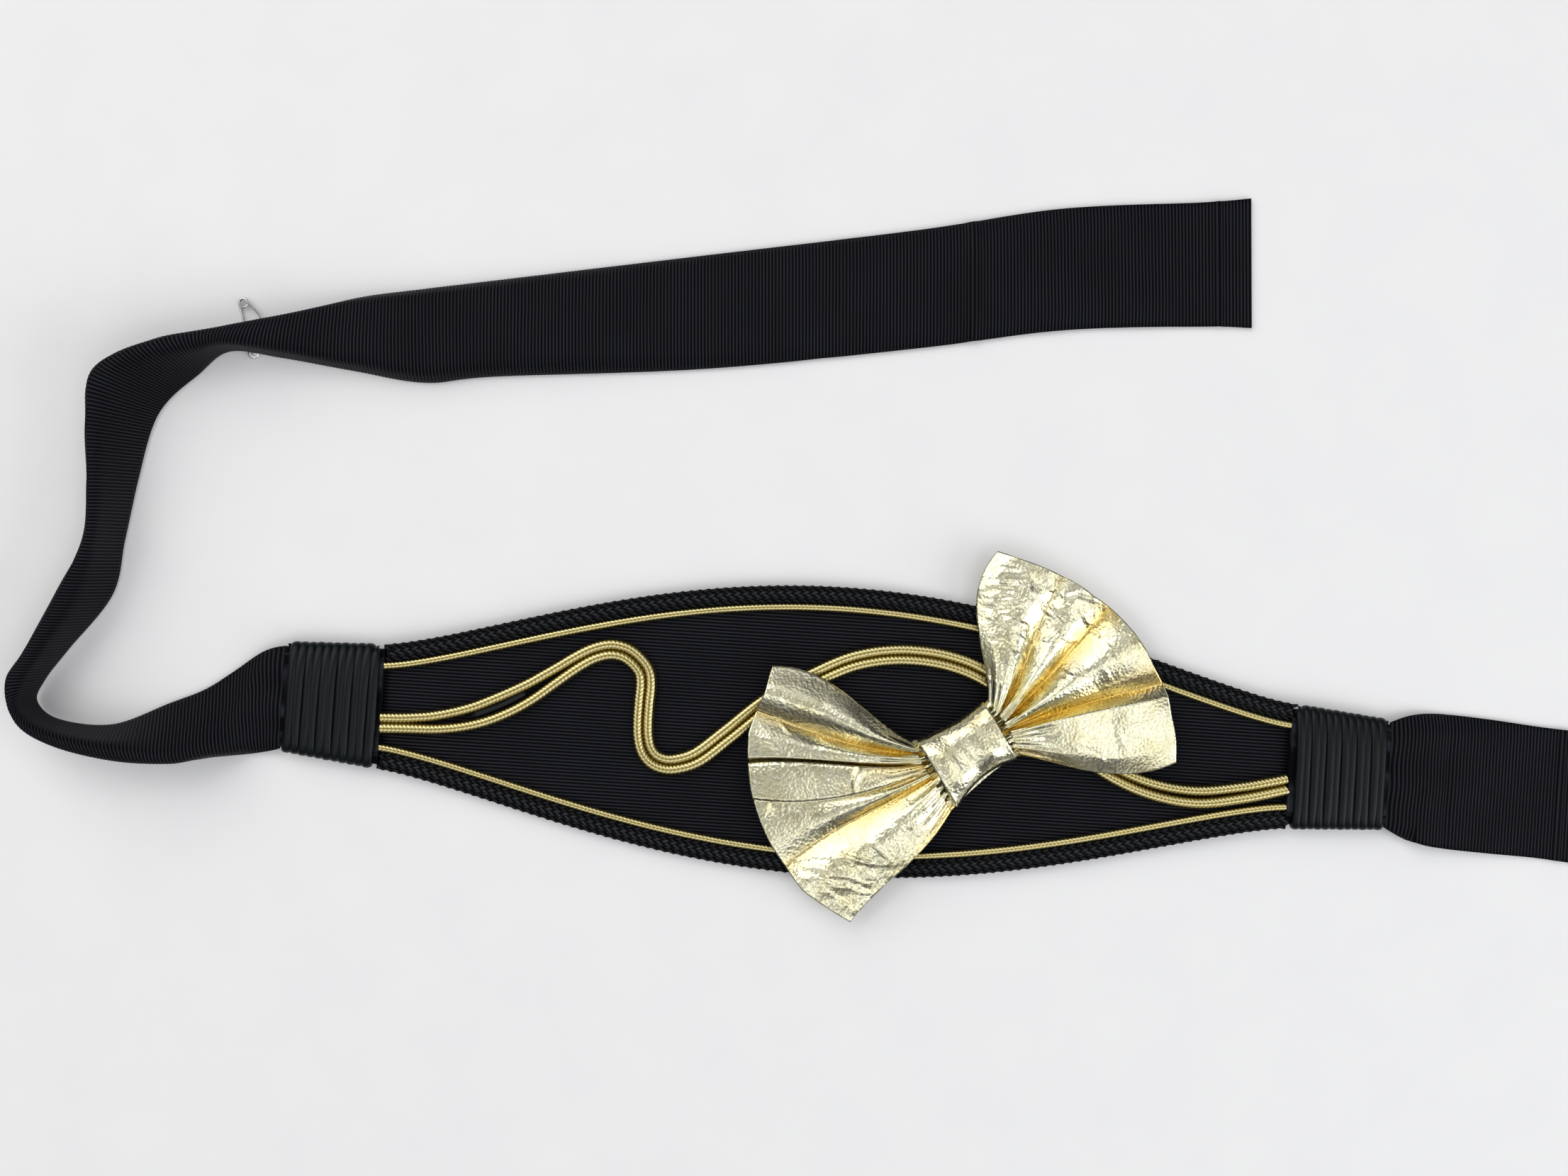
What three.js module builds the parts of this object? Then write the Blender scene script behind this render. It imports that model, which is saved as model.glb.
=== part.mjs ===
// A woman's bow belt laid flat: a lens-shaped grosgrain front panel with plaited edges and gold
// cords, a gold leather bow, two cord-wrapped necks and a grosgrain strap at each end.
// Millimetres, +Z up. The panel's back lies on Z = 0 with its middle at the origin, +X along it.

import * as THREE from 'three';

// Front panel
const PANEL_LENGTH = 350;
const OUTLINE_POWER = 1.4;
const PANEL_HALF_HEIGHT_TOP = 57.2;
const PANEL_HALF_HEIGHT_BOTTOM = 53.7;
const NECK_HALF_HEIGHT = 23.9;
const PANEL_WALL = 2.6;
const NECK_RAMP = 60;
const NECK_LIFT = 1.5;
const TONGUE_LENGTH = 12;

// Trims on the panel
const BRAID_WIDTH = 6.8;
const BRAID_THICKNESS = 2.3;
const BRAID_OVERHANG = 1;
const BORDER_CORD = 2.9;
const BORDER_INSET = 8.3;
const WAVE_CORD = 3.8;
const CORE_CORD = 2.4;

// Wraps of satin cord round the necks
const WRAP_LENGTH = 37.4;
const WRAP_HEIGHT = 10.4;
const WRAP_HALF_WIDTH = 24.7;
const WRAP_OUTER_HALF_WIDTH = 21.7;
const WRAP_WALL = 2.5;
const WRAP_TURNS = 11;
const WRAP_GROOVE = 0.8;
const BUNCH_WIDTH = 0.85;
const BUNCH_HEIGHT = 0.82;
const BUNCH_ROUNDING = 0.35;

// Straps of ribbon
const STRAP_WIDTH = 50;
const STRAP_WALL = 1.4;
const LEFT_STRAP_LENGTH = 690;
const RIGHT_STRAP_LENGTH = 74;
const STRAP_ROOT = 12;
const LEFT_DRIFT = 1.5;
const RIGHT_DRIFT = -0.8;
const SHOULDER = 0.9;
const CREASE_ROUNDING = 0.3;

// Bow and its knot
const BOW_REACH = 83;
const BOW_RELIEF = 6;
const BOW_WALL = 1.5;
const BOW_TILT = 34.6;
const BOW_ALONG = 50.8;
const BOW_ACROSS = -2.2;
const WING_START = 2;
const WING_SWELL = 0.25;
const WING_SWELL_END = 0.625;
const KNOT_LENGTH = 29;
const KNOT_HALF_WIDTH = 15.2;
const KNOT_HEIGHT = 16;
const KNOT_WALL = 1.6;
const WAIST_ROUNDING = 0.8;

// Safety pin under the left strap
const PIN_LENGTH = 24;
const PIN_WIRE = 0.85;
const PIN_COIL = 4.2;
const PIN_SPREAD = 5.2;
const PIN_TURN = 105;
const PIN_ALONG = 9.8;
const PIN_TIP = 2.6;
const PIN_ROW = 16;
const PIN_CAP_LENGTH = 5;
const PIN_CAP_WIDTH = 4.6;
const PIN_CAP_HEIGHT = 1.5;
const PIN_REST = 0.05;

const GAP = 0.3;
const PANEL_END = PANEL_LENGTH / 2;
const WRAP_END = PANEL_END + WRAP_LENGTH;
const WRAP_AXIS = WRAP_HEIGHT / 2;
const TRIM_END = PANEL_END - 3 * GAP;
const KNOT_AXIS = PANEL_WALL + GAP + KNOT_HEIGHT / 2;

// Sleeves are turned at this radius and then reshaped to squared ovals of these powers.
const TURNING_RADIUS = 10;
const WRAP_OVAL = 0.7;
const KNOT_OVAL = 0.75;

// Where the two gold wave cords run, from the left neck to the right one. Along is a share of
// half the panel's length, across a share of its half height, and apart the distance between
// the two cords in cord thicknesses.
const WAVE = [
  { along: -1.002, across: -0.108, apart: 1.09 },
  { along: -0.93, across: -0.096, apart: 1.09 },
  { along: -0.871, across: -0.078, apart: 1.45 },
  { along: -0.797, across: -0.023, apart: 1.8 },
  { along: -0.733, across: 0.063, apart: 1.95 },
  { along: -0.677, across: 0.162, apart: 1.7 },
  { along: -0.631, across: 0.263, apart: 1.3 },
  { along: -0.57, across: 0.397, apart: 1.09 },
  { along: -0.538, across: 0.451, apart: 1.09 },
  { along: -0.502, across: 0.48, apart: 1.09 },
  { along: -0.47, across: 0.463, apart: 1.09 },
  { along: -0.444, across: 0.409, apart: 1.09 },
  { along: -0.428, across: 0.347, apart: 1.09 },
  { along: -0.423, across: 0.27, apart: 1.09 },
  { along: -0.424, across: 0.14, apart: 1.09 },
  { along: -0.424, across: 0.005, apart: 1.09 },
  { along: -0.421, across: -0.09, apart: 1.09 },
  { along: -0.412, across: -0.175, apart: 1.09 },
  { along: -0.394, across: -0.235, apart: 1.09 },
  { along: -0.366, across: -0.261, apart: 1.09 },
  { along: -0.337, across: -0.249, apart: 1.09 },
  { along: -0.302, across: -0.205, apart: 1.09 },
  { along: -0.236, across: -0.035, apart: 1.09 },
  { along: -0.155, across: 0.185, apart: 1.09 },
  { along: -0.054, across: 0.38, apart: 1.09 },
  { along: 0.041, across: 0.519, apart: 1.09 },
  { along: 0.152, across: 0.575, apart: 1.09 },
  { along: 0.27, across: 0.53, apart: 1.09 },
  { along: 0.39, across: 0.355, apart: 1.09 },
  { along: 0.51, across: 0.09, apart: 1.09 },
  { along: 0.605, across: -0.105, apart: 1.09 },
  { along: 0.7, across: -0.212, apart: 1.2 },
  { along: 0.8, across: -0.246, apart: 1.3 },
  { along: 0.9, across: -0.198, apart: 1.2 },
  { along: 1.002, across: -0.12, apart: 1.09 },
];

// Sections of the left strap from its neck to its free end. In and out are its inner and outer
// edges seen from above, as shares of the strap's length from the neck's end. The ribbon stands
// up as a tent between them: it rises over the first share of the seen width and falls over the
// last, and its height and lift are shares of the ribbon's own width.
const LEFT_STRAP = [
  { inX: -0.002, inY: 0.03, outX: -0.002, outY: -0.031, rise: 0.1, fall: 0.1, height: 0.02, lift: 0.08 },
  { inX: -0.014, inY: 0.023, outX: -0.01, outY: -0.032, rise: 0.15, fall: 0.15, height: 0.07, lift: 0.03 },
  { inX: -0.029, inY: 0.011, outX: -0.024, outY: -0.034, rise: 0.6, fall: 0.05, height: 0.18, lift: 0 },
  { inX: -0.044, inY: 0, outX: -0.037, outY: -0.036, rise: 0.75, fall: 0.05, height: 0.34, lift: 0 },
  { inX: -0.063, inY: -0.009, outX: -0.054, outY: -0.039, rise: 0.8, fall: 0, height: 0.46, lift: 0 },
  { inX: -0.094, inY: -0.023, outX: -0.083, outY: -0.039, rise: 0.5, fall: 0, height: 0.54, lift: 0 },
  { inX: -0.125, inY: -0.022, outX: -0.116, outY: -0.033, rise: 0.3, fall: 0, height: 0.56, lift: 0 },
  { inX: -0.138, inY: -0.012, outX: -0.136, outY: -0.022, rise: 0.15, fall: 0, height: 0.56, lift: 0 },
  { inX: -0.134, inY: 0.001, outX: -0.144, outY: -0.001, rise: 0.25, fall: 0, height: 0.54, lift: 0 },
  { inX: -0.1225, inY: 0.018, outX: -0.136, outY: 0.016, rise: 0.4, fall: 0, height: 0.52, lift: 0 },
  { inX: -0.1, inY: 0.05, outX: -0.121, outY: 0.048, rise: 0.5, fall: 0, height: 0.52, lift: 0 },
  { inX: -0.095, inY: 0.081, outX: -0.107, outY: 0.08, rise: 0.6, fall: 0, height: 0.54, lift: 0 },
  { inX: -0.09, inY: 0.114, outX: -0.107, outY: 0.112, rise: 0.7, fall: 0, height: 0.54, lift: 0 },
  { inX: -0.084, inY: 0.144, outX: -0.11, outY: 0.146, rise: 0.75, fall: 0, height: 0.54, lift: 0 },
  { inX: -0.076, inY: 0.16, outX: -0.107, outY: 0.173, rise: 0.75, fall: 0, height: 0.54, lift: 0 },
  { inX: -0.061, inY: 0.175, outX: -0.075, outY: 0.191, rise: 0.6, fall: 0, height: 0.52, lift: 0 },
  { inX: -0.043, inY: 0.19, outX: -0.038, outY: 0.2015, rise: 0.12, fall: 0.08, height: 0.44, lift: 0.03 },
  { inX: -0.013, inY: 0.1885, outX: -0.01, outY: 0.211, rise: 0.1, fall: 0.1, height: 0.33, lift: 0.03 },
  { inX: 0.027, inY: 0.184, outX: 0.026, outY: 0.223, rise: 0.08, fall: 0.08, height: 0.22, lift: 0 },
  { inX: 0.067, inY: 0.18, outX: 0.063, outY: 0.2305, rise: 0.08, fall: 0.08, height: 0.17, lift: 0 },
  { inX: 0.106, inY: 0.186, outX: 0.103, outY: 0.238, rise: 0.08, fall: 0.08, height: 0.14, lift: 0 },
  { inX: 0.224, inY: 0.198, outX: 0.22, outY: 0.26, rise: 0.1, fall: 0.1, height: 0.09, lift: 0 },
  { inX: 0.341, inY: 0.217, outX: 0.337, outY: 0.282, rise: 0.12, fall: 0.12, height: 0.07, lift: 0 },
  { inX: 0.42, inY: 0.232, outX: 0.415, outY: 0.299, rise: 0.12, fall: 0.12, height: 0.05, lift: 0 },
  { inX: 0.498, inY: 0.239, outX: 0.493, outY: 0.308, rise: 0.12, fall: 0.12, height: 0, lift: 0 },
  { inX: 0.525, inY: 0.24, outX: 0.52, outY: 0.312, rise: 0.12, fall: 0.12, height: 0, lift: 0 },
];

// The same for the right strap, which runs straight out of its neck.
const RIGHT_STRAP = [
  { inX: 0.02, inY: 0.29, outX: 0.02, outY: -0.29, rise: 0.1, fall: 0.1, height: 0.02, lift: 0.08 },
  { inX: 0.12, inY: 0.315, outX: 0.12, outY: -0.33, rise: 0.1, fall: 0.1, height: 0.07, lift: 0.04 },
  { inX: 0.26, inY: 0.325, outX: 0.26, outY: -0.36, rise: 0.1, fall: 0.1, height: 0.08, lift: 0 },
  { inX: 0.52, inY: 0.315, outX: 0.52, outY: -0.375, rise: 0.1, fall: 0.1, height: 0.04, lift: 0 },
  { inX: 0.8, inY: 0.295, outX: 0.8, outY: -0.385, rise: 0.1, fall: 0.1, height: 0, lift: 0 },
  { inX: 1, inY: 0.285, outX: 1, outY: -0.4, rise: 0.1, fall: 0.1, height: 0, lift: 0 },
];

// Fold lines of each wing from its lower edge to its upper one. Each runs from the knot to the
// rim at these angles in degrees about the knot, and stands at these shares of the bow's relief.
const LEFT_WING = [
  { fold: 'lower edge', knot: -44, middle: -30, rim: -24.6, reach: 0.95, low: 0.3, mid: 0.3, high: 0.05 },
  { fold: 'crinkled roll', knot: -32, middle: -22, rim: -17, reach: 0.965, low: 0.5, mid: 0.55, high: 0.3 },
  { fold: 'lower face', knot: -19, middle: -12, rim: -9, reach: 0.99, low: 0.6, mid: 0.65, high: 0.5 },
  { fold: 'long valley', knot: -5, middle: 0, rim: -1.5, reach: 0.99, low: 0.1, mid: 0.05, high: 0.25 },
  { fold: 'middle face', knot: 0, middle: 5, rim: 6, reach: 1, low: 0.5, mid: 0.5, high: 0.45 },
  { fold: 'step foot', knot: 5, middle: 10, rim: 18, reach: 1.01, low: 0.3, mid: 0.4, high: 0.5 },
  { fold: 'step lip', knot: 8.5, middle: 12.5, rim: 19.8, reach: 1.01, low: 0.6, mid: 0.85, high: 0.9 },
  { fold: 'pleat face', knot: 13, middle: 22, rim: 26, reach: 1.01, low: 0.7, mid: 0.9, high: 0.8 },
  { fold: 'pocket', knot: 17, middle: 26, rim: 28.4, reach: 1.01, low: 0.1, mid: 0.15, high: 0.1 },
  { fold: 'pocket lip', knot: 21, middle: 28.5, rim: 30.6, reach: 1.01, low: 0.7, mid: 0.75, high: 0.7 },
  { fold: 'upper ridge', knot: 24, middle: 32, rim: 36, reach: 1.01, low: 0.75, mid: 0.7, high: 0.65 },
  { fold: 'upper valley', knot: 27, middle: 36, rim: 41.5, reach: 0.99, low: 0.25, mid: 0.25, high: 0.35 },
  { fold: 'upper roll', knot: 33, middle: 45, rim: 47.5, reach: 0.97, low: 0.9, mid: 1, high: 0.8 },
  { fold: 'upper edge', knot: 42, middle: 56.5, rim: 54.5, reach: 0.98, low: 0.4, mid: 0.5, high: 0.5 },
];
const RIGHT_WING = [
  { fold: 'lower edge', knot: -35, middle: -40, rim: -33.8, reach: 0.956, low: 0.3, mid: 0.2, high: 0.15 },
  { fold: 'lower roll', knot: -24, middle: -33, rim: -28, reach: 0.956, low: 0.7, mid: 0.65, high: 0.4 },
  { fold: 'smooth face', knot: -13, middle: -20, rim: -21, reach: 0.946, low: 0.6, mid: 0.75, high: 0.6 },
  { fold: 'long lip', knot: -7, middle: -12.4, rim: -15.4, reach: 0.946, low: 0.75, mid: 0.95, high: 0.9 },
  { fold: 'long valley', knot: -4, middle: -8.8, rim: -11.5, reach: 0.946, low: 0.1, mid: 0.1, high: 0.3 },
  { fold: 'valley wall', knot: -0.5, middle: -5, rim: -7.3, reach: 0.936, low: 0.45, mid: 0.55, high: 0.65 },
  { fold: 'middle face', knot: 4, middle: 3.5, rim: 3, reach: 0.936, low: 0.8, mid: 0.95, high: 0.85 },
  { fold: 'second valley', knot: 9, middle: 12.8, rim: 15, reach: 0.926, low: 0.1, mid: 0.05, high: 0.5 },
  { fold: 'between', knot: 12.5, middle: 19, rim: 21, reach: 0.916, low: 0.6, mid: 0.7, high: 0.75 },
  { fold: 'crinkled face', knot: 14.5, middle: 23, rim: 26, reach: 0.916, low: 0.55, mid: 0.65, high: 0.8 },
  { fold: 'first valley', knot: 17.5, middle: 28, rim: 31, reach: 0.912, low: 0.1, mid: 0.15, high: 0.65 },
  { fold: 'crinkled bulge', knot: 22, middle: 35, rim: 37, reach: 0.912, low: 0.75, mid: 0.8, high: 0.8 },
  { fold: 'upper roll', knot: 29, middle: 46, rim: 45, reach: 0.916, low: 0.8, mid: 0.75, high: 0.65 },
  { fold: 'upper edge', knot: 39, middle: 55.3, rim: 50.8, reach: 0.93, low: 0.4, mid: 0.25, high: 0.35 },
];

// Half width and sideways shift of the knot at its left end, waist and right end, as shares of
// KNOT_HALF_WIDTH.
const KNOT_WIDTHS = [1, 0.78, 0.85];
const KNOT_SHIFTS = [-0.07, 0.045, 0.06];

const { lerp, degToRad, clamp, smoothstep } = THREE.MathUtils;

const finish = {
  grosgrain: new THREE.MeshStandardMaterial({ color: 0x0b0d12, roughness: 0.75 }),
  plait: new THREE.MeshStandardMaterial({ color: 0x101216, roughness: 0.6 }),
  satinCord: new THREE.MeshStandardMaterial({ color: 0x16242a, roughness: 0.35 }),
  goldCord: new THREE.MeshStandardMaterial({ color: 0xc9bd7e, roughness: 0.35, metalness: 0.8 }),
  goldLeather: new THREE.MeshStandardMaterial({ color: 0xd3cda8, roughness: 0.3, metalness: 0.85 }),
  steel: new THREE.MeshStandardMaterial({ color: 0xb9bcc0, roughness: 0.25, metalness: 1 }),
};

const belt = new THREE.Group();

function add(name, geometry, material) {
  geometry.computeVertexNormals();
  const mesh = new THREE.Mesh(geometry, material);
  mesh.name = name;
  belt.add(mesh);
}

// Moves every vertex of a closed geometry, keeping it closed.
function reshape(geometry, place) {
  const position = geometry.attributes.position;
  const from = new THREE.Vector3();
  for (let i = 0; i < position.count; i += 1) {
    const to = place(from.fromBufferAttribute(position, i));
    position.setXYZ(i, to.x, to.y, to.z);
  }
  return geometry;
}

// Share of a squared oval's half size at a sine or cosine.
function oval(value, power) {
  return Math.sign(value) * Math.abs(value) ** power;
}

// A closed wall: place(along, across, side) is called with shares from 0 to 1, side 0 or 1.
function wall(steps, columns, place) {
  const sheet = new THREE.BoxGeometry(1, 1, 1, steps, columns, 1);
  return reshape(sheet, (p) => place(p.x + 0.5, p.y + 0.5, p.z + 0.5));
}

function tube(curve, diameter, steps, sides = 8) {
  const section = new THREE.Shape();
  for (let side = 0; side < sides; side += 1) {
    const turn = (side / sides) * 2 * Math.PI;
    const x = (diameter / 2) * Math.cos(turn);
    const y = (diameter / 2) * Math.sin(turn);
    if (side === 0) section.moveTo(x, y);
    else section.lineTo(x, y);
  }
  section.closePath();
  return new THREE.ExtrudeGeometry(section, { steps, extrudePath: curve, curveSegments: sides });
}

// The panel's outline, its back and its front over the floor at a place along it.
function halfHeight(x, peak) {
  const share = clamp(Math.abs(x) / PANEL_END, 0, 1);
  return NECK_HALF_HEIGHT + (peak - NECK_HALF_HEIGHT) * (1 - share * share) ** OUTLINE_POWER;
}

function panelBack(x) {
  return NECK_LIFT * smoothstep(Math.abs(x), PANEL_END - NECK_RAMP, PANEL_END);
}

function panelFront(x) {
  return panelBack(x) + PANEL_WALL;
}

function panelEdge(x, upper) {
  return upper ? halfHeight(x, PANEL_HALF_HEIGHT_TOP) : -halfHeight(x, PANEL_HALF_HEIGHT_BOTTOM);
}

// A point of the bunched cloth that fills a neck's wrap, from -1 to 1 outward and upward.
function bunched(x, drift, outward, upward, wrapHalfWidth) {
  const halfWidth = BUNCH_WIDTH * (wrapHalfWidth - WRAP_WALL);
  const halfHeight = BUNCH_HEIGHT * (WRAP_AXIS - WRAP_WALL) * (1 - BUNCH_ROUNDING * outward ** 4);
  return { x, y: drift + outward * halfWidth, z: WRAP_AXIS + upward * halfHeight };
}

// Panel with a thick tongue at each end that fills the neck's wrap.
function frontPanel() {
  const between = 28;
  const places = [-PANEL_END - TONGUE_LENGTH, -PANEL_END];
  for (let i = 0; i <= between; i += 1) {
    places.push(lerp(-PANEL_END + 2 * GAP, PANEL_END - 2 * GAP, i / between));
  }
  places.push(PANEL_END, PANEL_END + TONGUE_LENGTH);
  return wall(places.length - 1, 8, (along, across, side) => {
    const x = places[Math.round(along * (places.length - 1))];
    const outward = across * 2 - 1;
    if (Math.abs(x) >= PANEL_END) return bunched(x, 0, outward, side * 2 - 1, WRAP_HALF_WIDTH);
    const edge = outward > 0 ? panelEdge(x, true) : -panelEdge(x, false);
    const y = outward * (edge - BRAID_OVERHANG);
    return { x, y, z: side ? panelFront(x) : panelBack(x) };
  });
}

// A curve that keeps a set distance inside the panel's edge, at a set height over its front.
function alongEdge(upper, inset, height) {
  const points = [];
  const count = 24;
  for (let i = 0; i <= count; i += 1) {
    const x = lerp(-TRIM_END, TRIM_END, i / count);
    const slope = (panelEdge(x + 1, upper) - panelEdge(x - 1, upper)) / 2;
    const inward = (upper ? -1 : 1) * inset * Math.hypot(1, slope);
    points.push(new THREE.Vector3(x, panelEdge(x, upper) + inward, panelFront(x) + GAP + height));
  }
  return new THREE.CatmullRomCurve3(points);
}

function edgeBraid(upper) {
  const curve = alongEdge(upper, BRAID_WIDTH / 2, BRAID_THICKNESS / 2);
  const half = BRAID_THICKNESS / 2;
  const reach = BRAID_WIDTH / 2;
  const section = new THREE.Shape();
  section.moveTo(half, -reach);
  section.lineTo(half, reach);
  section.lineTo(-half * 0.3, reach);
  section.lineTo(-half, reach * 0.75);
  section.lineTo(-half * 0.75, 0);
  section.lineTo(-half, -reach * 0.75);
  section.lineTo(-half * 0.3, -reach);
  section.closePath();
  return new THREE.ExtrudeGeometry(section, { steps: 34, extrudePath: curve });
}

function borderCord(upper) {
  return tube(alongEdge(upper, BORDER_INSET, BORDER_CORD / 2), BORDER_CORD, 30);
}

// Middle line of the wave cords, and one cord beside it on the upper (1) or lower (-1) side.
function waveLine() {
  const points = WAVE.map(({ along, across }) => {
    const x = clamp(along, -1, 1) * TRIM_END;
    return new THREE.Vector3(x, across * PANEL_HALF_HEIGHT_TOP, 0);
  });
  return new THREE.CatmullRomCurve3(points, false, 'centripetal');
}

function waveCord(side) {
  const line = waveLine();
  const spread = new THREE.SplineCurve(WAVE.map(({ apart }, i) => new THREE.Vector2(i, apart)));
  const samples = WAVE.length * 2 - 2;
  const points = [];
  for (let i = 0; i <= samples; i += 1) {
    const point = line.getPoint(i / samples);
    const heading = line.getTangent(i / samples);
    const end = i === 0 || i === samples;
    const offset = (side * WAVE_CORD * spread.getPoint(i / samples).y) / 2;
    const x = end ? point.x : point.x - heading.y * offset;
    const y = point.y + heading.x * offset;
    points.push(new THREE.Vector3(x, y, panelFront(x) + GAP + WAVE_CORD / 2));
  }
  return tube(new THREE.CatmullRomCurve3(points), WAVE_CORD, 72);
}

// The black cord that shows where the gold ones part on the left.
function coreCord() {
  const points = WAVE.slice(3, 6).map(({ along, across }) => {
    const x = along * PANEL_END;
    return new THREE.Vector3(x, across * PANEL_HALF_HEIGHT_TOP, panelFront(x) + GAP + CORE_CORD / 2);
  });
  return tube(new THREE.CatmullRomCurve3(points), CORE_CORD, 8, 6);
}

// Turns of cord round a neck, as one ribbed sleeve that is open at both ends.
function neckWrap(side, drift) {
  const profile = [];
  const turn = WRAP_LENGTH / WRAP_TURNS;
  const inner = [new THREE.Vector2(0, WRAP_LENGTH), new THREE.Vector2(0, 0)];
  for (let i = 0; i < WRAP_TURNS; i += 1) {
    profile.push(new THREE.Vector2(WRAP_WALL - WRAP_GROOVE, i * turn));
    profile.push(new THREE.Vector2(WRAP_WALL, (i + 0.25) * turn));
    profile.push(new THREE.Vector2(WRAP_WALL, (i + 0.75) * turn));
  }
  profile.push(new THREE.Vector2(WRAP_WALL - WRAP_GROOVE, WRAP_LENGTH), ...inner, profile[0]);
  const around = 14;
  const lifted = profile.map((p) => new THREE.Vector2(p.x + TURNING_RADIUS, p.y));
  const sleeve = new THREE.LatheGeometry(lifted, around);
  return reshape(sleeve, (p) => {
    const turned = Math.atan2(p.x, p.z);
    const wallShare = Math.hypot(p.x, p.z) - TURNING_RADIUS - WRAP_WALL;
    const along = p.y / WRAP_LENGTH;
    const halfWidth = lerp(WRAP_HALF_WIDTH, WRAP_OUTER_HALF_WIDTH, along) + wallShare;
    return {
      x: side * (PANEL_END + p.y),
      y: drift * along - halfWidth * oval(Math.sin(turned), WRAP_OVAL) * side,
      z: WRAP_AXIS + (WRAP_AXIS + wallShare) * oval(Math.cos(turned), WRAP_OVAL),
    };
  });
}

// Section of a ribbon: its inner slope, its top and its outer slope, rounded at each crease, as
// points (across, up). The ribbon keeps its width, so the outer slope takes what is left of it.
function ribbonSection(row, seenWidth) {
  const top = row.height * STRAP_WIDTH;
  const shoulder = top * SHOULDER;
  const base = STRAP_WALL / 2 + row.lift * STRAP_WIDTH;
  const creaseIn = row.rise * seenWidth;
  const creaseOut = (1 - row.fall) * seenWidth;
  const used = Math.hypot(creaseIn, shoulder) + Math.hypot(creaseOut - creaseIn, 2 * (top - shoulder));
  const left = Math.max(STRAP_WIDTH - used, 0);
  const run = seenWidth - creaseOut;
  const drop = Math.min(Math.sqrt(Math.max(left * left - run * run, 0)), shoulder);
  const corners = [
    new THREE.Vector2(0, base),
    new THREE.Vector2(creaseIn, base + shoulder),
    new THREE.Vector2((creaseIn + creaseOut) / 2, base + top),
    new THREE.Vector2(creaseOut, base + shoulder),
    new THREE.Vector2(seenWidth, base + shoulder - drop),
  ];
  const rounded = [corners[0]];
  for (let i = 1; i < corners.length - 1; i += 1) {
    rounded.push(corners[i].clone().lerp(corners[i - 1], CREASE_ROUNDING));
    rounded.push(corners[i].clone().lerp(corners[i + 1], CREASE_ROUNDING));
  }
  rounded.push(corners[corners.length - 1]);
  return rounded;
}

// A strap lofted through a table of sections, from a root inside its neck's wrap.
function strap(table, length, side, drift, stepsBetween) {
  const start = new THREE.Vector2(side * WRAP_END, drift);
  const column = (key) => new THREE.SplineCurve(table.map((row, i) => new THREE.Vector2(i, row[key])));
  const keys = ['inX', 'inY', 'outX', 'outY', 'rise', 'fall', 'height', 'lift'];
  const columns = Object.fromEntries(keys.map((key) => [key, column(key)]));
  const sections = [];
  const count = (table.length - 1) * stepsBetween;
  for (let i = 0; i <= count; i += 1) {
    const row = Object.fromEntries(keys.map((key) => [key, columns[key].getPoint(i / count).y]));
    row.height = Math.max(row.height, 0);
    row.lift = Math.max(row.lift, 0);
    row.rise = clamp(row.rise, 0.02, 0.9);
    row.fall = clamp(row.fall, 0, 0.9);
    const inner = new THREE.Vector2(row.inX, row.inY).multiplyScalar(length).add(start);
    const outer = new THREE.Vector2(row.outX, row.outY).multiplyScalar(length).add(start);
    const seenWidth = inner.distanceTo(outer);
    const across = outer.clone().sub(inner).normalize();
    const line = ribbonSection(row, seenWidth);
    sections.push({ inner, across, line });
  }
  const lineColumns = sections[0].line.length - 1;
  return wall(count + 2, lineColumns, (along, acrossShare, face) => {
    const step = Math.round(along * (count + 2));
    const j = Math.round(acrossShare * lineColumns);
    const upward = side * (1 - face * 2);
    if (step < 2) {
      const x = side * (WRAP_END - (step === 0 ? STRAP_ROOT : 0));
      return bunched(x, drift, 1 - acrossShare * 2, upward, WRAP_OUTER_HALF_WIDTH);
    }
    const { inner, across, line } = sections[step - 2];
    const before = line[Math.max(j - 1, 0)];
    const after = line[Math.min(j + 1, lineColumns)];
    const heading = after.clone().sub(before).normalize();
    const offset = (upward * STRAP_WALL) / 2;
    const reach = line[j].x - heading.y * offset;
    const up = Math.max(line[j].y + heading.x * offset, 0);
    return { x: inner.x + across.x * reach, y: inner.y + across.y * reach, z: up };
  });
}

// A quadratic through three values at the knot, the middle and the rim.
function through(first, second, third, share) {
  const back = first * (1 - share) * (1 - 2 * share);
  return back + second * 4 * share * (1 - share) + third * share * (2 * share - 1);
}

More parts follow.
